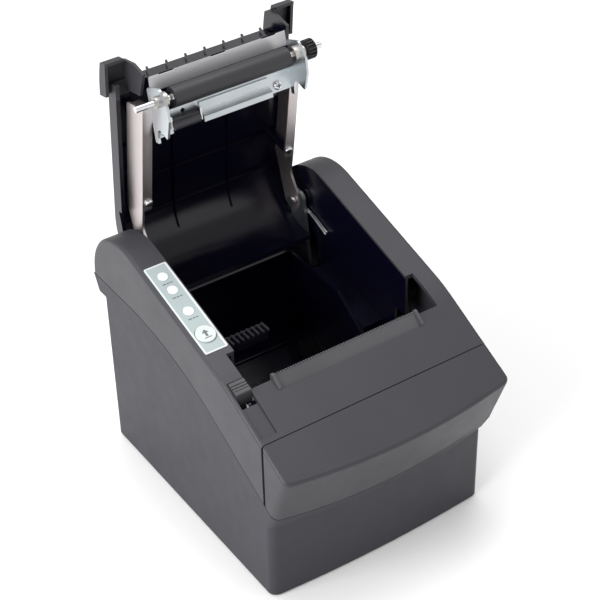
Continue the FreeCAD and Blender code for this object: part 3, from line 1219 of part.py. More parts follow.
def socket(name):
    """One rear socket with its mouth cut to its own shape."""
    body = socket_box(name)
    span = body.BoundBox
    x, z = (span.XMin + span.XMax) / 2, (span.ZMin + span.ZMax) / 2
    y1 = span.YMax
    if name == "power_socket":
        mouth = rod_y(x, y1 - 9, y1 + 1, z, 5.2).cut(rod_y(x, y1 - 9, y1 + 1, z, 1.2))
        return body.cut(mouth)
    if name == "serial_socket":
        shell = front_solid([(x - 8.6, z - 4.0, 2), (x + 8.6, z - 4.0, 2), (x + 9.8, z + 4.0, 2),
                             (x - 9.8, z + 4.0, 2)],
                            y1 - 6, y1 + 3.0)
        hollow = front_solid([(x - 7.9, z - 3.3, 1.6), (x + 7.9, z - 3.3, 1.6), (x + 9.0, z + 3.3, 1.6),
                              (x - 9.0, z + 3.3, 1.6)], y1 - 4, y1 + 4.0)
        studs = [rod_y(x + s * 12.5, y1 - 1, y1 + 3.0, z, 2.2) for s in (-1, 1)]
        return joined([body, shell] + studs).cut(hollow)
    wide = span.XLength - 3.0
    tall = span.ZLength - 4.0
    mouth = box(x - wide / 2, x + wide / 2, y1 - 10, y1 + 1, z - tall / 2, z + tall / 2)
    return body.cut(mouth)


def switch_window(grow=0.0):
    """The cut-out for the power switch in the rear panel."""
    return box(-56.0 - grow, -44.0 + grow, PANEL_Y - 8, PANEL_Y + 5, 29.0 - grow, 37.0 + grow)


def rear_panel():
    """The steel panel behind which the sockets stand."""
    plate = box(-PANEL_HALF, PANEL_HALF, PANEL_Y, PANEL_Y + PANEL_THICK,
                BOARD_Z + BOARD_THICK + 0.8, PANEL_TOP_Z - 0.3)
    tools = [socket_box(name, 0.3) for name, _, _, _ in SOCKETS]
    return plate.cut(tools + [switch_window(0.0)])


def switch_body():
    """The power switch's frame, clipped in the rear panel."""
    frame = box(-56.0, -44.0, PANEL_Y - 7.0, PANEL_Y + PANEL_THICK + 0.8, 29.0, 37.0)
    return frame.cut(box(-54.8, -45.2, PANEL_Y - 5.0, PANEL_Y + 5, 30.2, 35.8))


def switch_rocker():
    """The power switch's rocker, tipped to its off side."""
    y = PANEL_Y + 0.4
    rocker = side_solid([(y - 2.6, 30.8, 1.0), (y + 0.8, 30.4), (y + 1.4, 33.0), (y + 3.2, 35.4, 0.4),
                         (y - 0.6, 35.6, 1.0)], -54.5, -45.5)
    return joined([rocker, rod_x(-54.7, -45.3, y, 33.0, 1.2)])


NODES = {
    "lower_case": lower_case, "upper_case": upper_case, "front_cover": front_cover,
    "bottom_plate": bottom_plate, "rubber_feet": rubber_feet, "case_screws": case_screws,
    "board_pillars": board_pillars, "main_board": main_board, "rear_panel": rear_panel,
    "switch_body": switch_body, "switch_rocker": switch_rocker,
    "control_label": control_label, "led_lenses": led_lenses, "feed_button": feed_button,
    "control_board": control_board, "tear_bar": tear_bar, "release_lever": release_lever,
    "latch_shaft": latch_shaft, "latch_hooks": latch_hooks, "latch_spring": latch_spring,
    "paper_bucket": paper_bucket, "side_floors": side_floors, "roll_guides": roll_guides,
    "near_end_sensor": near_end_sensor,
    "hinge_pins": hinge_pins, "hinge_posts": hinge_posts, "lid_spring": lid_spring,
    "side_frames": side_frames, "mechanism_tray": mechanism_tray, "idler_gear": idler_gear,
    "idler_pin": idler_pin, "motor_pinion": motor_pinion, "feed_motor": feed_motor,
    "print_head": print_head, "head_ceramic": head_ceramic, "head_bracket": head_bracket,
    "head_springs": head_springs, "cutter_frame": cutter_frame, "cutter_blade": cutter_blade,
    "cutter_pinion": cutter_pinion, "cutter_motor": cutter_motor,
}

LID_NODES = {
    "lid_shell": lid_shell, "lid_arms": lid_arms, "cross_plate": cross_plate,
    "guide_channel": guide_channel, "guide_roller": guide_roller, "guide_pin": guide_pin,
    "fixed_blade": fixed_blade, "blade_holder": blade_holder, "platen_rubber": platen_rubber,
    "platen_shaft": platen_shaft, "platen_bushings": platen_bushings, "platen_gear": platen_gear,
    "lid_screws": lid_screws,
}


def main():
    """Write one STEP file for each piece."""
    os.makedirs("parts", exist_ok=True)
    shapes = {name: make() for name, make in NODES.items()}
    shapes.update({name: to_open(make()) for name, make in LID_NODES.items()})
    shapes.update({name: socket(name) for name, _, _, _ in SOCKETS})
    for name, shape in shapes.items():
        shape.exportStep("parts/" + name + ".step")
        span = shape.BoundBox
        print(f"{name:18s} solids {len(shape.Solids)} volume {shape.Volume:9.0f} valid {shape.isValid()}"
              f" x {span.XMin:.1f}..{span.XMax:.1f} y {span.YMin:.1f}..{span.YMax:.1f}"
              f" z {span.ZMin:.1f}..{span.ZMax:.1f}")


main()
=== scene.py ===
# %% [markdown]
# # A desktop receipt printer with its roll lid open
# The printer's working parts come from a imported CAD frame: cases, lid, steel arms, platen, gears, boards
# and sockets. This lesson gives each of them a believable finish, and adds the pieces that are easier to
# make as surfaces than as solids: wound springs, screw heads with their crosses, the printed control strip,
# and a knob. Everything is in metres, so a piece goes exactly where the frame says.

# %% Load the frame
import math
import bpy
import numpy as np
from mathutils import Matrix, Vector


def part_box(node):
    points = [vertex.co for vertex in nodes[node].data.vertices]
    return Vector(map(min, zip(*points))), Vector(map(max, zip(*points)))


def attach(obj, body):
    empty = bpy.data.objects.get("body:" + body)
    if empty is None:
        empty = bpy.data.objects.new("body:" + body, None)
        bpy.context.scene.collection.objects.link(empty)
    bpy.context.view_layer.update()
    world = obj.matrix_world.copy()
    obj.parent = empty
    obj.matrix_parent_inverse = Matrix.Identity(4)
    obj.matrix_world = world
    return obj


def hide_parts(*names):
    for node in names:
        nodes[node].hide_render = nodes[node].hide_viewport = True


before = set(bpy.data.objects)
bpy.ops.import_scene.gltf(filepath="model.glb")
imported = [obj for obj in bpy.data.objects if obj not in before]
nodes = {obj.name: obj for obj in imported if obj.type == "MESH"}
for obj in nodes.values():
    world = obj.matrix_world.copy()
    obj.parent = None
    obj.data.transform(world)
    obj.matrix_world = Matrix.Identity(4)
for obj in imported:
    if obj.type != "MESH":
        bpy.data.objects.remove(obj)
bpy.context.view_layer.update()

# %% [markdown]
# ## The camera and the light
# The printer is seen from its front left, from a little above, with a long lens, so its edges stay almost
# parallel. A camera could be aimed with a constraint, but a rotation worked out from its place and its
# target is plainer, and it stays put. A small roll about its own axis finishes the aim.

# %% Camera
CAMERA_PLACE = np.array([-0.42075, -0.64424, 0.70403])
CAMERA_TARGET = np.array([0.014869, 0.0205, 0.10613])
CAMERA_ROLL = math.radians(-1.6358)
LENS_MM = 106.12


def aimed(place, target, roll):
    """Rotation matrix whose -Z looks from place to target: its X is the cross product of the view direction
    and world up, its Y completes the frame, and both are then turned by roll about the view axis."""
    forward = (target - place) / np.linalg.norm(target - place)
    right = np.cross(forward, [0.0, 0.0, 1.0])
    right /= np.linalg.norm(right)
    up = np.cross(right, forward)
    rolled = math.cos(roll) * right + math.sin(roll) * up
    return np.column_stack([rolled, np.cross(-forward, rolled), -forward])


camera = bpy.data.objects.new("camera", bpy.data.cameras.new("camera"))
camera.data.lens = LENS_MM
camera.data.sensor_width = 36.0
camera.data.clip_start = 0.05
turn = np.eye(4)
turn[:3, :3] = aimed(CAMERA_PLACE, CAMERA_TARGET, CAMERA_ROLL)
turn[:3, 3] = CAMERA_PLACE
camera.matrix_world = Matrix(turn.tolist())
bpy.context.scene.collection.objects.link(camera)
bpy.context.scene.camera = camera
print("camera distance", round(float(np.linalg.norm(CAMERA_TARGET - CAMERA_PLACE)), 4))

# %% [markdown]
# Dark plastic shows its shape only by what it reflects. Large soft lights do that best: a broad one from
# the left brightens the side wall, one overhead draws the sheen along the deck and the lid's rim, and the
# front is left the darkest, so the three faces read apart. A pale world fills the shadows.

# %% Lights, world and floor
def soft_light(name, place, target, size, watts):
    """A square, white area light at place, aimed at target."""
    data = bpy.data.lights.new(name, "AREA")
    data.shape = "SQUARE"
    data.size = size
    data.energy = watts
    lamp = bpy.data.objects.new(name, data)
    matrix = np.eye(4)
    matrix[:3, :3] = aimed(np.array(place), np.array(target), 0.0)
    matrix[:3, 3] = place
    lamp.matrix_world = Matrix(matrix.tolist())
    bpy.context.scene.collection.objects.link(lamp)
    return lamp


soft_light("left_window", (-1.3, -0.15, 0.75), (0, 0, 0.1), 1.0, 22.0)
soft_light("overhead", (0.15, 0.25, 1.5), (0, 0, 0.12), 1.0, 13.0)
soft_light("front_fill", (0.9, -1.4, 0.6), (0, 0, 0.1), 1.0, 2.0)

world = bpy.data.worlds.new("pale_room")
bpy.context.scene.world = world
world.use_nodes = True
world.node_tree.nodes["Background"].inputs["Color"].default_value = (1.0, 1.0, 1.0, 1.0)
world.node_tree.nodes["Background"].inputs["Strength"].default_value = 0.65
bpy.context.scene.view_settings.view_transform = "Standard"

floor_mesh = bpy.data.meshes.new("floor")
floor_mesh.from_pydata([(-6, -6, 0), (6, -6, 0), (6, 6, 0), (-6, 6, 0)], [], [(0, 1, 2, 3)])
floor = bpy.data.objects.new("floor", floor_mesh)
bpy.context.scene.collection.objects.link(floor)
floor_paint = bpy.data.materials.new("floor_paint")
floor_paint.use_nodes = True
floor_paint.node_tree.nodes["Principled BSDF"].inputs["Base Color"].default_value = (0.9, 0.9, 0.9, 1.0)
floor_paint.node_tree.nodes["Principled BSDF"].inputs["Roughness"].default_value = 0.9
floor.data.materials.append(floor_paint)
print("lights 3, floor 12 m square")

# %% [markdown]
# ## Finishes
# Every finish here is built the same way: a Principled shader whose colour drifts a little over the piece,
# whose roughness drifts with it, and whose surface has a fine bump. Real mouldings are like that because
# the steel of the mould is spark-eroded, and pressed steel is like that because it is rolled and plated.
# The patterns use Object coordinates, in metres, so a scale of 1000 has features about a millimetre across.
#
# A moulding can also have zones: a maths test on where a point is, which gives 1 inside and 0 outside. Here
# they mark painted shade in the opening, on the lid and in a crease, and a painted shadow in a joint.
# Splitting the mesh would do it too, but the frame's pieces keep their meshes.

# %% Zones of painted shade on a moulding
DECK_SLOPE = 0.285
DECK_Z = 0.1374
DECK_SKIN = 0.0015
OPENING_HALF = 0.0559
OPENING_FRONT_Y = -0.0445
JOINT_SLOPE = 0.534
JOINT_Y, JOINT_Z = -0.0822, 0.064
JOINT_HALF = 0.0004
CREASE_UP = 0.0099
CREASE_HALF = 0.00015
CREASE_SHADE_STRENGTH = 0.5
FRONT_FACE_Y = -0.0765
EAR_Z = 0.2285
EAR_X = 0.0435
BACK_FACING = 0.25
EAR_FACING = -0.002


def maths(tree, operation, *values):
    """One maths node: each value is a socket to link, or a number to set."""
    node = tree.nodes.new("ShaderNodeMath")
    node.operation = operation
    for socket, value in zip(node.inputs, values):
        if isinstance(value, (int, float)):
            socket.default_value = value
        else:
            tree.links.new(value, socket)
    return node.outputs[0]


def split(tree, vector):
    """The X, Y and Z sockets of a vector socket."""
    node = tree.nodes.new("ShaderNodeSeparateXYZ")
    tree.links.new(vector, node.inputs[0])
    return node.outputs["X"], node.outputs["Y"], node.outputs["Z"]


def opening_shade_zone(tree, place):
    """1 inside the roll opening, where the case's colour becomes painted shade: |x| < 55.9 mm, y > -44.5
    mm, and more than 1.5 mm under the sloping deck, whose height is z = 0.1374 + 0.285 y."""
    x, y, z = split(tree, place.outputs["Object"])
    narrow = maths(tree, "LESS_THAN", maths(tree, "ABSOLUTE", x), OPENING_HALF)
    deck = maths(tree, "MULTIPLY_ADD", y, DECK_SLOPE, DECK_Z)
    under = maths(tree, "GREATER_THAN", maths(tree, "SUBTRACT", deck, z), DECK_SKIN)
    behind = maths(tree, "GREATER_THAN", y, OPENING_FRONT_Y)
    return maths(tree, "MULTIPLY", maths(tree, "MULTIPLY", narrow, behind), under)


def joint_and_crease_shade_zone(tree, place):
    """1 within 0.4 mm of the joint line z = 0.064 + 0.534 (y + 0.0822), a painted shadow where two
    mouldings meet, and 0.5 within 0.15 mm of a faint crease 9.9 mm above it, painted shade of that groove."""
    _, y, z = split(tree, place.outputs["Object"])
    joint = maths(tree, "MULTIPLY_ADD", y, JOINT_SLOPE, JOINT_Z - JOINT_SLOPE * JOINT_Y)
    above = maths(tree, "SUBTRACT", z, joint)
    line = maths(tree, "LESS_THAN", maths(tree, "ABSOLUTE", above), JOINT_HALF)
    off_crease = maths(tree, "ABSOLUTE", maths(tree, "SUBTRACT", above, CREASE_UP))
    crease = maths(tree, "LESS_THAN", off_crease, CREASE_HALF)
    front = maths(tree, "LESS_THAN", y, FRONT_FACE_Y)
    return maths(tree, "MULTIPLY", maths(tree, "MULTIPLY_ADD", crease, CREASE_SHADE_STRENGTH, line), front)


def lid_shade_zone(tree, place):
    """1 on the lid's inside face, whose normal doesn't point back (y < 0.25), where the colour becomes
    painted shade, except on its two ears where they don't face the middle, which keep the case's grey:
    there z > 228.5 mm, |x| > 43.5 mm and x times the normal's x is above -0.002."""
    x, _, z = split(tree, place.outputs["Object"])
    normal_x, normal_y, _ = split(tree, place.outputs["Normal"])
    inside = maths(tree, "LESS_THAN", normal_y, BACK_FACING)
    high = maths(tree, "GREATER_THAN", z, EAR_Z)
    wide = maths(tree, "GREATER_THAN", maths(tree, "ABSOLUTE", x), EAR_X)
    away = maths(tree, "GREATER_THAN", maths(tree, "MULTIPLY", x, normal_x), EAR_FACING)
    ear = maths(tree, "MULTIPLY", maths(tree, "MULTIPLY", high, wide), away)
    return maths(tree, "MULTIPLY", inside, maths(tree, "SUBTRACT", 1.0, ear))


# %% [markdown]
# One function makes every finish, so each one differs only by its numbers: base colour, roughness, how
# metallic, the size of its grain and how deep that is. A stretch other than 1 draws the pattern out along
# one axis, which is how ground and brushed metal gets its lines.

# %% Finish helper
DRIFT_SCALE, SWING_SCALE, SCUFF_SCALE = 28.0, 90.0, 260.0
DRIFT_STOPS = (0.35, 0.68)
SCUFF_STOPS = (0.66, 0.78)
WEAR_LIFT = 0.05
LEAST_ROUGH = 0.02
BUMP_HEIGHT = 0.0002


def finish(name, colour, roughness, metal=0.0, grain=1200.0, bump=0.12, drift=0.12, wear=0.0,
           stretch=(1, 1, 1), coat=0.0, rough_swing=0.08, specular=0.5, shade_zone=None, shade_colour=(0.0, 0.0, 0.0),
           inner_gloss=0.45):
    """A Principled finish. Colour = base x (1 +- drift x large noise), lightened by wear where fine noise
    peaks; roughness = base +- swing x middle noise; height = fine noise at the grain scale. Where
    shade_zone gives 1 the colour becomes shade_colour, painted shade, and the roughness is multiplied by
    inner_gloss."""
    material = bpy.data.materials.new(name)
    material.use_nodes = True
    tree = material.node_tree
    shader = tree.nodes["Principled BSDF"]
    shader.inputs["Metallic"].default_value = metal
    shader.inputs["Coat Weight"].default_value = coat
    shader.inputs["Specular IOR Level"].default_value = specular
    place = tree.nodes.new("ShaderNodeTexCoord")
    mapping = tree.nodes.new("ShaderNodeMapping")
    mapping.inputs["Scale"].default_value = stretch
    tree.links.new(place.outputs["Object"], mapping.inputs["Vector"])

    def noise(scale, detail):
        node = tree.nodes.new("ShaderNodeTexNoise")
        node.inputs["Scale"].default_value = scale
        node.inputs["Detail"].default_value = detail
        tree.links.new(mapping.outputs["Vector"], node.inputs["Vector"])
        return node.outputs["Fac"]

    ramp = tree.nodes.new("ShaderNodeValToRGB")
    low = [c * (1 - drift) for c in colour]
    high = [min(1.0, c * (1 + drift) + wear * WEAR_LIFT) for c in colour]
    ramp.color_ramp.elements[0].position = DRIFT_STOPS[0]
    ramp.color_ramp.elements[1].position = DRIFT_STOPS[1]
    ramp.color_ramp.elements[0].color = (*low, 1.0)
    ramp.color_ramp.elements[1].color = (*high, 1.0)
    tree.links.new(noise(DRIFT_SCALE, 4.0), ramp.inputs["Fac"])
    colour_out = ramp.outputs["Color"]
    if wear > 0:
        scuff = tree.nodes.new("ShaderNodeValToRGB")
        scuff.color_ramp.elements[0].position = SCUFF_STOPS[0]
        scuff.color_ramp.elements[1].position = SCUFF_STOPS[1]
        tree.links.new(noise(SCUFF_SCALE, 8.0), scuff.inputs["Fac"])
        mix = tree.nodes.new("ShaderNodeMix")
        mix.data_type = "RGBA"
        mix.inputs["B"].default_value = (*[min(1.0, c + wear) for c in colour], 1.0)
        tree.links.new(scuff.outputs["Color"], mix.inputs["Factor"])
        tree.links.new(colour_out, mix.inputs["A"])
        colour_out = mix.outputs["Result"]
    spread = tree.nodes.new("ShaderNodeMapRange")
    spread.inputs["To Min"].default_value = max(LEAST_ROUGH, roughness - rough_swing)
    spread.inputs["To Max"].default_value = min(1.0, roughness + rough_swing)
    tree.links.new(noise(SWING_SCALE, 5.0), spread.inputs["Value"])
    rough_out = spread.outputs["Result"]
    # Painted shade: the colour turns to shade_colour where the shade_zone test gives 1.
    if shade_zone:
        shade_mask = shade_zone(tree, place)
        dark = tree.nodes.new("ShaderNodeMix")
        dark.data_type = "RGBA"
        dark.inputs["B"].default_value = (*shade_colour, 1.0)
        tree.links.new(shade_mask, dark.inputs["Factor"])
        tree.links.new(colour_out, dark.inputs["A"])
        colour_out = dark.outputs["Result"]
        gloss = tree.nodes.new("ShaderNodeMapRange")
        gloss.inputs["To Min"].default_value = 1.0
        gloss.inputs["To Max"].default_value = inner_gloss
        tree.links.new(shade_mask, gloss.inputs["Value"])
        rough_out = maths(tree, "MULTIPLY", rough_out, gloss.outputs["Result"])
    tree.links.new(colour_out, shader.inputs["Base Color"])
    tree.links.new(rough_out, shader.inputs["Roughness"])
    height = tree.nodes.new("ShaderNodeBump")
    height.inputs["Strength"].default_value = bump
    height.inputs["Distance"].default_value = BUMP_HEIGHT
    tree.links.new(noise(grain, 2.0), height.inputs["Height"])
    tree.links.new(height.outputs["Normal"], shader.inputs["Normal"])
    return material


# %% [markdown]
# The case is one grey-black plastic. Inside the roll opening, on the lid's inside face and on the ear faces
# turned to the middle, its colour becomes painted shade: near black and glossier. The bucket's parts are
# near black and glossy in a finish of their own. The joint and the crease on the front are thin bands in
# the same finish: a painted shadow in the joint, painted shade in the crease. The steel comes in three
# sorts: zinc-plated sheet with a cool cast, warmer bare sheet for the lid's arms, and bright ground pins.
# Rubber is nearly black with a ground, lengthwise grain.

# %% Finishes by name
# Near black of the bucket's parts, and the colour of the painted shade and seam shadow in the zones.
INNER_BLACK_AND_SHADE = (0.0018, 0.0016, 0.0068)
FINISHES = {
    # The zones of the first four mouldings turn their colour into painted shade and a painted seam shadow.
    "lower_plastic": finish("base_moulding", (0.0305, 0.0295, 0.0375), 0.50, grain=1500, bump=0.35,
                            drift=0.05, specular=0.3, shade_zone=joint_and_crease_shade_zone, shade_colour=INNER_BLACK_AND_SHADE),
    "case_plastic": finish("case_moulding", (0.033, 0.032, 0.0385), 0.45, grain=1500, bump=0.35, drift=0.05,
                           wear=0.003, specular=0.4, shade_zone=opening_shade_zone, shade_colour=INNER_BLACK_AND_SHADE),
    "cover_plastic": finish("cover_moulding", (0.032, 0.031, 0.0375), 0.45, grain=1500, bump=0.35,
                            drift=0.05, wear=0.003, specular=0.4, shade_zone=joint_and_crease_shade_zone, shade_colour=INNER_BLACK_AND_SHADE),
    "lid_plastic": finish("lid_moulding", (0.030, 0.029, 0.034), 0.45, grain=1500, bump=0.25, drift=0.06,
                          specular=0.35, shade_zone=lid_shade_zone, shade_colour=INNER_BLACK_AND_SHADE),
    "tear_plastic": finish("tear_bar_moulding", (0.062, 0.060, 0.066), 0.4, grain=1300, bump=0.3,
                           drift=0.08),
    "inner_plastic": finish("polished_moulding", INNER_BLACK_AND_SHADE, 0.2, grain=700, bump=0.06, drift=0.15,
                            specular=0.35),
    "zinc": finish("zinc_plated_sheet", (0.56, 0.60, 0.62), 0.34, metal=1.0, grain=700, bump=0.1,
                   drift=0.1),
    "arm_steel": finish("bare_sheet_steel", (0.62, 0.56, 0.56), 0.38, metal=1.0, grain=600, bump=0.12,
                        drift=0.06, stretch=(3, 1, 0.25)),
    "bright": finish("ground_pin_steel", (0.72, 0.72, 0.74), 0.18, metal=1.0, grain=1800, bump=0.08,
                     stretch=(0.2, 1, 1)),
    "blade": finish("ground_blade_steel", (0.72, 0.71, 0.73), 0.36, metal=0.75, grain=900, bump=0.25,
                    stretch=(0.12, 1, 1)),
    "wire": finish("drawn_wire", (0.6, 0.6, 0.63), 0.22, metal=1.0, grain=2200, bump=0.1),
    "rubber": finish("ground_rubber", (0.022, 0.022, 0.025), 0.5, grain=1700, bump=0.4,
                     stretch=(0.35, 1, 1)),
    "foot_rubber": finish("foot_rubber", (0.02, 0.02, 0.02), 0.75, grain=900, bump=0.4),
    "lever": finish("lever_moulding", (0.033, 0.032, 0.037), 0.42, grain=1400, bump=0.3, drift=0.05,
                    wear=0.01),
    "acetal_and_recess_shade": finish("acetal_and_recess_shade", (0.016, 0.016, 0.018), 0.36, grain=800, bump=0.12),
    "film": finish("strip_film", (0.33, 0.385, 0.39), 0.5, grain=2600, bump=0.1, drift=0.03),
    "film_edge": finish("strip_border_ink", (0.60, 0.64, 0.64), 0.5, grain=2600, bump=0.1, drift=0.02),
    "button": finish("button_moulding", (0.52, 0.56, 0.55), 0.38, grain=1800, bump=0.12, drift=0.03),
    "lens": finish("milky_lens", (0.68, 0.72, 0.72), 0.25, grain=900, bump=0.05, drift=0.02, coat=0.4),
    "ink": finish("strip_ink", (0.10, 0.12, 0.125), 0.5, grain=2600, bump=0.05, drift=0.05),
    "board": finish("solder_mask", (0.015, 0.10, 0.04), 0.3, grain=900, bump=0.3, drift=0.3),
    "motor": finish("motor_can", (0.30, 0.30, 0.31), 0.35, metal=0.9, grain=700, bump=0.1),
    "head": finish("heat_sink", (0.62, 0.62, 0.63), 0.4, metal=1.0, grain=900, bump=0.15,
                   stretch=(0.1, 1, 1)),
    "ceramic": finish("glazed_ceramic", (0.78, 0.76, 0.70), 0.15, grain=400, bump=0.04, drift=0.03,
                      coat=0.6),
    "socket": finish("connector_moulding", (0.018, 0.018, 0.02), 0.4, grain=1400, bump=0.15),
    "socket_metal": finish("nickel_shell", (0.66, 0.65, 0.61), 0.26, metal=1.0, grain=900, bump=0.08),
    "bearing": finish("sintered_bearing", (0.52, 0.50, 0.47), 0.4, metal=1.0, grain=1500, bump=0.3),
}
print("finishes", len(FINISHES))

# %% [markdown]
# Each piece of the frame now gets its finish. A table by finish is easier to read than one by piece, since
# what shares a mould or a sheet of steel stays on one line.

# %% Which finish each frame node wears
WEARS = {
    "lower_plastic": ["lower_case"],
    "case_plastic": ["upper_case"],
    "cover_plastic": ["front_cover"],
    "tear_plastic": ["tear_bar"],
    "lid_plastic": ["lid_shell"],
    "inner_plastic": ["paper_bucket", "side_floors", "roll_guides", "mechanism_tray", "near_end_sensor",
                      "blade_holder"],
    "zinc": ["bottom_plate", "rear_panel", "side_frames", "hinge_posts", "head_bracket", "cutter_frame",
             "cross_plate",
             "guide_channel"],
    "arm_steel": ["lid_arms"],
    "bright": ["hinge_pins", "latch_shaft", "platen_shaft", "guide_pin", "idler_pin", "case_screws",
               "board_pillars"],
    "blade": ["fixed_blade", "cutter_blade"],
    "rubber": ["platen_rubber"],
    "foot_rubber": ["rubber_feet"],
    "lever": ["release_lever", "latch_hooks", "guide_roller"],
    "acetal_and_recess_shade": ["platen_gear", "idler_gear", "motor_pinion", "cutter_pinion"],
    "bearing": ["platen_bushings"],
    "film_edge": ["control_label"],
    "button": ["feed_button"],
    "lens": ["led_lenses"],
    "board": ["main_board", "control_board"],
    "motor": ["feed_motor", "cutter_motor"],
    "head": ["print_head"],
    "ceramic": ["head_ceramic"],
    "socket": ["power_socket", "drawer_socket", "switch_body", "switch_rocker"],
    "socket_metal": ["serial_socket", "network_socket", "usb_socket"],
}


def wear_finish(piece, material):
    """Give a piece one material in every slot."""
    piece.data.materials.clear()
    piece.data.materials.append(material)


for name, wearers in WEARS.items():
    for wearer in wearers:
        wear_finish(nodes[wearer], FINISHES[name])
print("nodes dressed", sum(len(w) for w in WEARS.values()), "of", len(nodes))

# %% [markdown]
# ## Surface helpers
# Three shapes make all the new pieces. A *turned* one is a profile swept about an axis along X, Y or Z. A
# *wire* is a circle carried along a path. A *plate* is a flat outline given a thickness. Each is worked out
# as whole arrays, then handed to the mesh in one go.

# %% Surface helpers
def add_piece(name, points, faces, material, smooth=True):
    """Makes an object from an (n, 3) array of points in metres and a list of faces."""
    mesh = bpy.data.meshes.new(name)
    mesh.from_pydata(points.tolist(), [], faces)
    mesh.validate()
    mesh.update()
    if smooth:
        mesh.polygons.foreach_set("use_smooth", np.ones(len(mesh.polygons), bool))
    piece = bpy.data.objects.new(name, mesh)
    piece.data.materials.append(material)
    bpy.context.scene.collection.objects.link(piece)
    return piece


def grid_faces(rows, columns):
    """Quads of a grid whose columns close round: corner (i, j) joins (i, j+1), (i+1, j+1) and (i+1, j)."""
    i, j = np.meshgrid(np.arange(rows - 1), np.arange(columns), indexing="ij")
    k = (j + 1) % columns
    quads = np.stack([i * columns + j, i * columns + k, (i + 1) * columns + k, (i + 1) * columns + j], -1)
    return quads.reshape(-1, 4).tolist()


def turned(profile, centre, axis, columns=48):
    """Points and faces of a turned shape: a profile of (distance along axis, radius) swept round the axis,
    so a point is centre + along x axis + radius x (cos a, sin a) in the plane square to it. Both ends are
    closed."""
    along, radius = np.array(profile, float).T
    angle = np.linspace(0, 2 * np.pi, columns, endpoint=False)
    others = [n for n in range(3) if n != axis]
    points = np.zeros((len(along), columns, 3))
    points[..., axis] = along[:, None]
    points[..., others[0]] = radius[:, None] * np.cos(angle)
    points[..., others[1]] = radius[:, None] * np.sin(angle)
    faces = grid_faces(len(along), columns)
    faces += [list(range(columns))[::-1], list(range((len(along) - 1) * columns, len(along) * columns))]
    return points.reshape(-1, 3) + np.array(centre, float), faces


def outward(piece):
    """Point every face of a closed piece outwards: the signed volume, a sum of triple products over the
    faces' triangles, is negative when they point in, and then every face is flipped."""
    mesh = piece.data
    mesh.calc_loop_triangles()
    corners = np.zeros(len(mesh.loop_triangles) * 3, int)
    mesh.loop_triangles.foreach_get("vertices", corners)
    co = np.zeros(len(mesh.vertices) * 3)
    mesh.vertices.foreach_get("co", co)
    a, b, c = np.moveaxis(co.reshape(-1, 3)[corners.reshape(-1, 3)], 1, 0)
    volume = np.einsum("ij,ij->i", a, np.cross(b, c)).sum() / 6
    if volume < 0:
        mesh.flip_normals()
    return abs(volume) * 1e9


def wire(path, radius, reference, sides=10):
    """Points and faces of a round wire: a circle of the given radius is carried along the path, in the
    plane spanned by (tangent x reference) and its cross product with the tangent. Both ends are closed."""
    path = np.array(path, float)
    tangent = np.gradient(path, axis=0)
    tangent /= np.linalg.norm(tangent, axis=1)[:, None]
    side = np.cross(tangent, reference)
    side /= np.linalg.norm(side, axis=1)[:, None]
    up = np.cross(side, tangent)
    angle = np.linspace(0, 2 * np.pi, sides, endpoint=False)
    rings = path[:, None, :] + radius * (np.cos(angle)[None, :, None] * side[:, None, :]
                                         + np.sin(angle)[None, :, None] * up[:, None, :])
    count = len(path)
    faces = grid_faces(count, sides)
    faces += [list(range(sides))[::-1], list(range((count - 1) * sides, count * sides))]
    return rings.reshape(-1, 3), faces


def plate(outline, thickness, to_world):
    """Points and faces of a flat plate: an outline of (u, v) points at height 0 and again at thickness,
    joined by side walls. to_world turns (u, v, height) arrays into places."""
    outline = np.array(outline, float)
    count = len(outline)
    low = np.column_stack([outline, np.zeros(count)])
    high = np.column_stack([outline, np.full(count, thickness)])
    index = np.arange(count)
    following = (index + 1) % count
    walls = np.column_stack([index, following, following + count, index + count]).tolist()
    faces = [index[::-1].tolist(), (index + count).tolist()] + walls
    return to_world(np.vstack([low, high])), faces


def gathered(name, parts, material, smooth=True):
    """One piece from several (points, faces) pairs: each face's numbers go up by the count of points before
    it."""
    points, faces, first = [], [], 0
    for part_points, part_faces in parts:
        points.append(part_points)
        faces += [[i + first for i in face] for face in part_faces]
        first += len(part_points)
    return add_piece(name, np.vstack(points), faces, material, smooth)


print("helpers ready")

# %% [markdown]
# ## The control strip's print
# The strip is a film with a pale border, grey inside, and a short legend line under each light. A texture
# could draw it, but raised plates 0.06 mm thick are real geometry: they keep their crisp edge at any
# distance. The deck rises at 0.285 to 1, so the strip's own (across, along, height) is turned into places
# by one sloping frame.

# %% Strip frame and outlines
lean = math.atan(DECK_SLOPE)
strip_low, strip_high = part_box("control_label")
strip_x = (strip_low.x + strip_high.x) / 2
strip_y = 0.012
strip_z = 0.127 + DECK_SLOPE * (strip_y + 0.0365)
FILM = 0.0004


def on_strip(flat):
    """(across, along the slope, height) to places: along runs up the deck, height stands square to it."""
    across, along, height = flat.T
    height = height + FILM
    return np.column_stack([strip_x + across, strip_y + along * math.cos(lean) - height * math.sin(lean),
                            strip_z + along * math.sin(lean) + height * math.cos(lean)])


def along_of(y):
    """Distance up the slope from the strip's middle to a place at depth y."""
    return (y - strip_y) / math.cos(lean)


def rounded_box(x0, x1, y0, y1, r, steps=6):
    """Outline of a rectangle whose four corners are quarter circles: corner centre + r (cos a, sin a)."""
    angle = np.linspace(0, np.pi / 2, steps)
    corners = [(x1 - r, y1 - r, 0), (x0 + r, y1 - r, 1), (x0 + r, y0 + r, 2), (x1 - r, y0 + r, 3)]
    return np.vstack([np.column_stack([cx + r * np.cos(angle + q * np.pi / 2),
                                       cy + r * np.sin(angle + q * np.pi / 2)])
                      for cx, cy, q in corners])


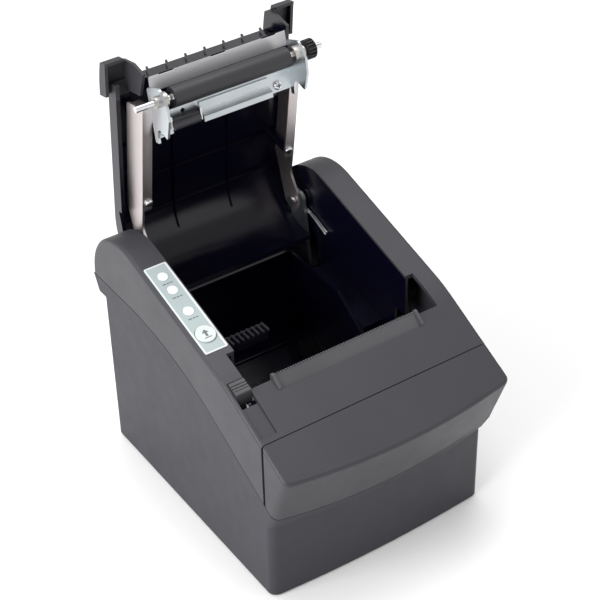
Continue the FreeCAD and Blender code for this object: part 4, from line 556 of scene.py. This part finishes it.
def ring_with_hole(outer, inner_radius, centre, thickness, columns=64):
    """A flat square-ended panel can't have a hole as one outline, so this walks round both at once: for
    each angle, one point on the hole's circle and one where that ray meets the panel's box."""
    x0, x1, y0, y1 = outer
    angle = np.linspace(0, 2 * np.pi, columns, endpoint=False)
    angle = np.sort(np.concatenate([angle, [math.atan2(y - centre[1], x - centre[0]) % (2 * np.pi)
                                            for x in (x0, x1) for y in (y0, y1)]]))
    c, s = np.cos(angle), np.sin(angle)
    with np.errstate(divide="ignore"):
        reach_x = np.where(c > 0, (x1 - centre[0]) / c, np.where(c < 0, (x0 - centre[0]) / c, np.inf))
        reach_y = np.where(s > 0, (y1 - centre[1]) / s, np.where(s < 0, (y0 - centre[1]) / s, np.inf))
    reach = np.minimum(reach_x, reach_y)
    hole = np.column_stack([centre[0] + inner_radius * c, centre[1] + inner_radius * s])
    edge = np.column_stack([centre[0] + reach * c, centre[1] + reach * s])
    count = len(angle)
    levels = [np.column_stack([hole, np.zeros(count)]), np.column_stack([edge, np.zeros(count)]),
              np.column_stack([edge, np.full(count, thickness)]),
              np.column_stack([hole, np.full(count, thickness)])]
    faces = grid_faces(4, count)
    i = np.arange(count)
    k = (i + 1) % count
    faces += np.column_stack([3 * count + i, 3 * count + k, k, i]).tolist()
    return on_strip(np.vstack(levels)), faces


# %% [markdown]
# The panel is made as four cells, one round each light and one round the button. A flat shape with a hole
# can't be a single outline, so each cell is a closed band between its hole and its box. The legends are
# bars, three to a light, and the button carries an arrow over a short line, the usual sign for feeding
# paper.

# %% Strip panels, legends and button mark
half_wide = (strip_high.x - strip_low.x) / 2
half_long = 0.0322
INK = 0.00006
LIGHTS_Y = (0.0345, 0.0246, 0.0090)
BUTTON_Y = -0.0078
BORDER = 0.0009
WIDE_BORDER = 0.0013
LIGHT_HOLE = 0.00305
BUTTON_HOLE = 0.0059
cells = []
breaks = [half_long - BORDER, along_of(0.0297), along_of(0.0170), along_of(0.0012), BORDER - half_long]
holes = [(along_of(y), LIGHT_HOLE) for y in LIGHTS_Y] + [(along_of(BUTTON_Y), BUTTON_HOLE)]
for (top, low), (middle, radius) in zip(zip(breaks[:-1], breaks[1:]), holes):
    box = (BORDER - half_wide, half_wide - WIDE_BORDER, low, top)
    cells.append(ring_with_hole(box, radius, (0.0, middle), INK))
strip_panel = gathered("strip_panel", cells, FINISHES["film"], smooth=False)
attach(strip_panel, "housing")
print("strip panel volume mm3", round(outward(strip_panel), 2))

LEGEND_DROP = 0.0052
BAR_HALF = 0.00032
BAR_ROUND = 0.00015
legends = []
for y in LIGHTS_Y:
    a = along_of(y) - LEGEND_DROP
    for x0, x1 in ((-0.0031, -0.0009), (-0.0005, 0.0012), (0.0016, 0.0031)):
        legends.append(plate(rounded_box(x0, x1, a - BAR_HALF, a + BAR_HALF, BAR_ROUND), INK,
                             lambda flat: on_strip(flat + [0, 0, INK])))
strip_legends = gathered("strip_legends", legends, FINISHES["ink"], smooth=False)
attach(strip_legends, "housing")
print("legend bars", len(legends), "volume mm3", round(outward(strip_legends), 3))

MARK_HEIGHT = 0.001
arrow = np.array([(-0.0007, -0.0020), (0.0007, -0.0020), (0.0007, 0.0004), (0.0020, 0.0004), (0.0, 0.0026),
                  (-0.0020, 0.0004), (-0.0007, 0.0004)])


def on_button(flat):
    """The button's own frame: the strip's, moved to the button's middle and up to its face."""
    return on_strip(flat + [0, along_of(BUTTON_Y), MARK_HEIGHT])


feed_arrow = gathered("feed_arrow", [plate(arrow, INK, on_button),
                                     plate(rounded_box(-0.0022, 0.0022, -0.0031, -0.0026, 0.0002), INK,
                                           on_button)],
                      FINISHES["ink"], smooth=False)
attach(feed_arrow, "feed_button")
print("arrow volume mm3", round(outward(feed_arrow), 4))

# %% [markdown]
# ## Screw heads
# The lid's screws are pan heads with a cross: a low dome over a straight rim. A turned profile gives the
# dome. The cross is two dark plates laid across each other at the dome's crown, painted shade standing in
# for the recess, because cutting a real recess would cost far more faces than it shows.

# %% Screws of the lid
CROSS_HALF = 0.00032
CROSS_THICK = 0.0001
CROSS_REACH = 0.55
CROSS_LEVEL = 0.965
RIM_SHARE = 0.45
HINGE = np.array([0.0, 0.076, 0.1304])
OPEN = math.radians(-101.0)


def opened(points):
    """Turn places given for a shut lid to the open lid, by a rotation about the hinge's X axis: measured
    from the hinge, y becomes y cos a - z sin a and z becomes y sin a + z cos a."""
    c, s = math.cos(OPEN), math.sin(OPEN)
    y, z = points[:, 1] - HINGE[1], points[:, 2] - HINGE[2]
    return np.column_stack([points[:, 0], HINGE[1] + y * c - z * s, HINGE[2] + y * s + z * c])


def pan_head(x, y, z, slope, radius, depth, shank, grip):
    """A screw pointing up: profile from the shank's tip down to the dome. The rim is 0.45 of the depth, and
    the dome adds r(t) = R sin t and h(t) = 0.55 depth x cos t, for t from a right angle to nearly 0."""
    t = np.linspace(np.pi / 2, 0.12, 9)
    dome = np.column_stack([-depth * RIM_SHARE - depth * 0.55 * np.cos(t), radius * np.sin(t)])
    profile = np.vstack([[[grip, shank * 0.55], [grip - 0.0006, shank], [0.0, shank], [0.0, radius]], dome])
    points, faces = turned(profile, (0, 0, 0), 2, 32)
    cross = []
    for wide, long in ((CROSS_HALF, radius * CROSS_REACH), (radius * CROSS_REACH, CROSS_HALF)):
        cross.append(plate(rounded_box(-wide, wide, -long, long, 0.0001, 3), CROSS_THICK,
                           lambda flat: flat * [1, 1, -1] - [0, 0, depth * CROSS_LEVEL]))
    c, s = math.cos(slope), math.sin(slope)

    def placed(p):
        return opened(np.column_stack([x + p[:, 0], y + p[:, 1] * c - p[:, 2] * s,
                                       z + p[:, 1] * s + p[:, 2] * c]))

    return (placed(points), faces), [(placed(p), f) for p, f in cross]


ARM_SLOPE = 0.356
ARM_FRONT_Y = -0.021
ARM_FRONT_Z = 0.1014
arm_y = 0.0413
arm_z = ARM_FRONT_Z + ARM_SLOPE * (arm_y - ARM_FRONT_Y)
heads, recess_shades = [], []
for x in (-0.046, 0.046):
    head, cross = pan_head(x, arm_y, arm_z, math.atan(ARM_SLOPE), radius=0.00245, depth=0.0017,
                           shank=0.0014, grip=0.005)
    heads.append(head)
    recess_shades += cross
for x, y in ((0.0334, -0.0074), (-0.0392, -0.0050)):
    head, cross = pan_head(x, y, 0.1034, 0.0, radius=0.0025, depth=0.0019, shank=0.0014, grip=0.0046)
    heads.append(head)
    recess_shades += cross
screw_heads = gathered("screw_heads", heads, FINISHES["bright"])
# The crosses wear the near-black acetal finish as painted shade of the recess.
screw_recess_shade = gathered("screw_recess_shade", recess_shades, FINISHES["acetal_and_recess_shade"], smooth=False)
for piece in (screw_heads, screw_recess_shade):
    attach(piece, "lid")
    outward(piece)
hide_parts("lid_screws")
print("screws", len(heads), "faces", len(screw_heads.data.polygons))

# %% [markdown]
# ## Wound springs
# A torsion spring sits on the right-hand hinge pin and sends two long straight legs down the shoulder wall;
# they catch the light as two bright lines. The latch has one too, and two small coils press the print head.
# A wire carried along a helix is the natural way to make them; a leg is a wire of its own, and the lid
# spring's two legs start at the coil's lower side.

# %% Springs
spring_low, spring_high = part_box("lid_spring")


def helix_x(centre, radius, x0, x1, turns, start, steps=40):
    """Path round the X axis: angle = start + 2 pi x turns x t, x from x0 to x1."""
    t = np.linspace(0, 1, int(steps * turns))
    a = start + 2 * np.pi * turns * t
    return np.column_stack([x0 + (x1 - x0) * t, centre[0] + radius * np.cos(a),
                            centre[1] + radius * np.sin(a)])


pin_y, pin_z = HINGE[1], HINGE[2]
ALONG_X = (1.0, 0.0, 0.0)
ALONG_Y = (0.0, 1.0, 0.0)
COIL_R = 0.0039
LID_WIRE_R = 0.00045
LATCH_WIRE_R = 0.0004
coil = helix_x((pin_y, pin_z), COIL_R, x0=0.05345, x1=0.0546, turns=2.75, start=math.radians(20))
LEG_FOOT_Y = 0.0506
LEG_BOW = 0.0006
slant = math.atan2(0.36, 0.93)
legs = []
for x, end_z in ((0.0538, 0.1179), (0.0547, 0.1191)):
    start = np.array([x, pin_y + COIL_R * math.sin(slant), pin_z - COIL_R * math.cos(slant)])
    t = np.linspace(0, 1, 24)[:, None]
    bow = np.array([0.0, -0.36, 0.93]) * LEG_BOW * np.sin(np.pi * t)
    legs.append(start + (np.array([x, LEG_FOOT_Y, end_z]) - start) * t + bow)
lid_coil = gathered("lid_coil", [wire(path, LID_WIRE_R, ALONG_X) for path in [coil] + legs],
                    FINISHES["wire"])
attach(lid_coil, "housing")
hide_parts("lid_spring")
print("lid spring volume mm3", round(outward(lid_coil), 2))
print("the frame's lid spring is", round((spring_high.z - spring_low.z) * 1000, 1), "mm high")

latch_path = helix_x((-0.0505, 0.080), radius=0.0035, x0=-0.0496, x1=-0.0424, turns=6.0,
                     start=math.radians(180))
latch_leg = np.column_stack([np.full(20, -0.0426), np.full(20, -0.0541), np.linspace(0.0795, 0.0590, 20)])
latch_coil = gathered("latch_coil", [wire(path, LATCH_WIRE_R, ALONG_X) for path in (latch_path, latch_leg)],
                      FINISHES["wire"])
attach(latch_coil, "housing")
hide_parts("latch_spring")


def helix_y(x, z, radius, y0, y1, turns):
    """Path round the Y axis: angle = 2 pi x turns x t, y from y0 to y1."""
    t = np.linspace(0, 1, int(28 * turns))
    a = 2 * np.pi * turns * t
    return np.column_stack([x + radius * np.cos(a), y0 + (y1 - y0) * t, z + radius * np.sin(a)])


press_low, press_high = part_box("head_springs")
press_z = (press_low.z + press_high.z) / 2
HEAD_WIRE_R = 0.00035
END_GAP = 0.0004
press_paths = [helix_y(x, press_z, 0.0020, press_low.y + END_GAP, press_high.y - END_GAP, 6.5)
               for x in (-0.022, 0.022)]
head_coils = gathered("head_coils", [wire(path, HEAD_WIRE_R, ALONG_Y) for path in press_paths],
                      FINISHES["wire"])
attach(head_coils, "housing")
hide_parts("head_springs")
print("coil faces", [len(p.data.polygons) for p in (lid_coil, latch_coil, head_coils)])
outward(latch_coil)
outward(head_coils)

# %% [markdown]
# ## Small parts in the roll bay
# The near-end sensor is a moulded box with a row of ribs, which stiffen it and let paper dust fall through.
# The ribs are rounded boxes set across its length, tied by one along its rear edge. They could be an array
# of one mesh, but eight small plates in one piece need nothing to be applied later.

# %% Sensor ribs
sensor_low, sensor_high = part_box("near_end_sensor")
RIB_HALF = 0.0006
RIB_ROUND = 0.0004
RIB_HEIGHT = 0.0013
TIE_HALF = 0.0005
TIE_HEIGHT = 0.0009
RIB_SINK = 0.0002


def upright(x, y, z):
    """A frame for a flat plate lying at (x, y, z): (u, v, height) becomes (x + u, y + v, z + height)."""
    return lambda flat: flat + [x, y, z]


rib_x = np.linspace(sensor_low.x + 0.0022, sensor_high.x - 0.0022, 8)
middle_y = (sensor_low.y + sensor_high.y) / 2
reach = (sensor_high.y - sensor_low.y) / 2
base_z = sensor_high.z - RIB_SINK
ribs = [plate(rounded_box(-RIB_HALF, RIB_HALF, -reach - 0.0006, reach + 0.0002, RIB_ROUND, 4), RIB_HEIGHT,
              upright(x, middle_y, base_z)) for x in rib_x]
ribs.append(plate(rounded_box(rib_x[0] - RIB_HALF, rib_x[-1] + RIB_HALF, -TIE_HALF, TIE_HALF, RIB_ROUND, 4),
                  TIE_HEIGHT, upright(0.0, middle_y + reach - 0.0006, base_z)))
sensor_ribs = gathered("sensor_ribs", ribs, FINISHES["socket"], smooth=False)
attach(sensor_ribs, "housing")
print("sensor ribs", len(ribs), "volume mm3", round(outward(sensor_ribs), 1))

# %% [markdown]
# ## The thumb disc
# Outside the platen's gear sits a black disc, so that paper can be fed by hand. It is a turned shape with a
# rounded rim and a dished face.

# %% Thumb disc
gear_low, gear_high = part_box("platen_gear")
axis_y, axis_z = (gear_low.y + gear_high.y) / 2, (gear_low.z + gear_high.z) / 2
gear_r = (gear_high.y - gear_low.y) / 2
t = np.linspace(0, np.pi / 2, 7)
DISC_THICK = 0.0007
RIM_R = 0.0006
DISH_DEPTH = 0.0005
BORE_R = 0.0019
SINK = 0.0001
face_x = gear_high.x + DISC_THICK
rim = np.column_stack([face_x - RIM_R + RIM_R * np.sin(t), gear_r - RIM_R + RIM_R * np.cos(t)])
profile = np.vstack([[[gear_high.x - SINK, BORE_R], [gear_high.x - SINK, gear_r - 0.0003],
                      [gear_high.x + 0.0002, gear_r]], rim,
                     [[face_x, gear_r - 0.0016], [face_x - DISH_DEPTH, gear_r - 0.0021],
                      [face_x - DISH_DEPTH, 0.0028], [face_x, 0.0023], [face_x, BORE_R]]])
disc_points, disc_faces = turned(profile, (0.0, axis_y, axis_z), 0, 64)
thumb_disc = add_piece("thumb_disc", disc_points, disc_faces, FINISHES["acetal_and_recess_shade"])
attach(thumb_disc, "platen")
print("thumb disc volume mm3", round(outward(thumb_disc), 1))
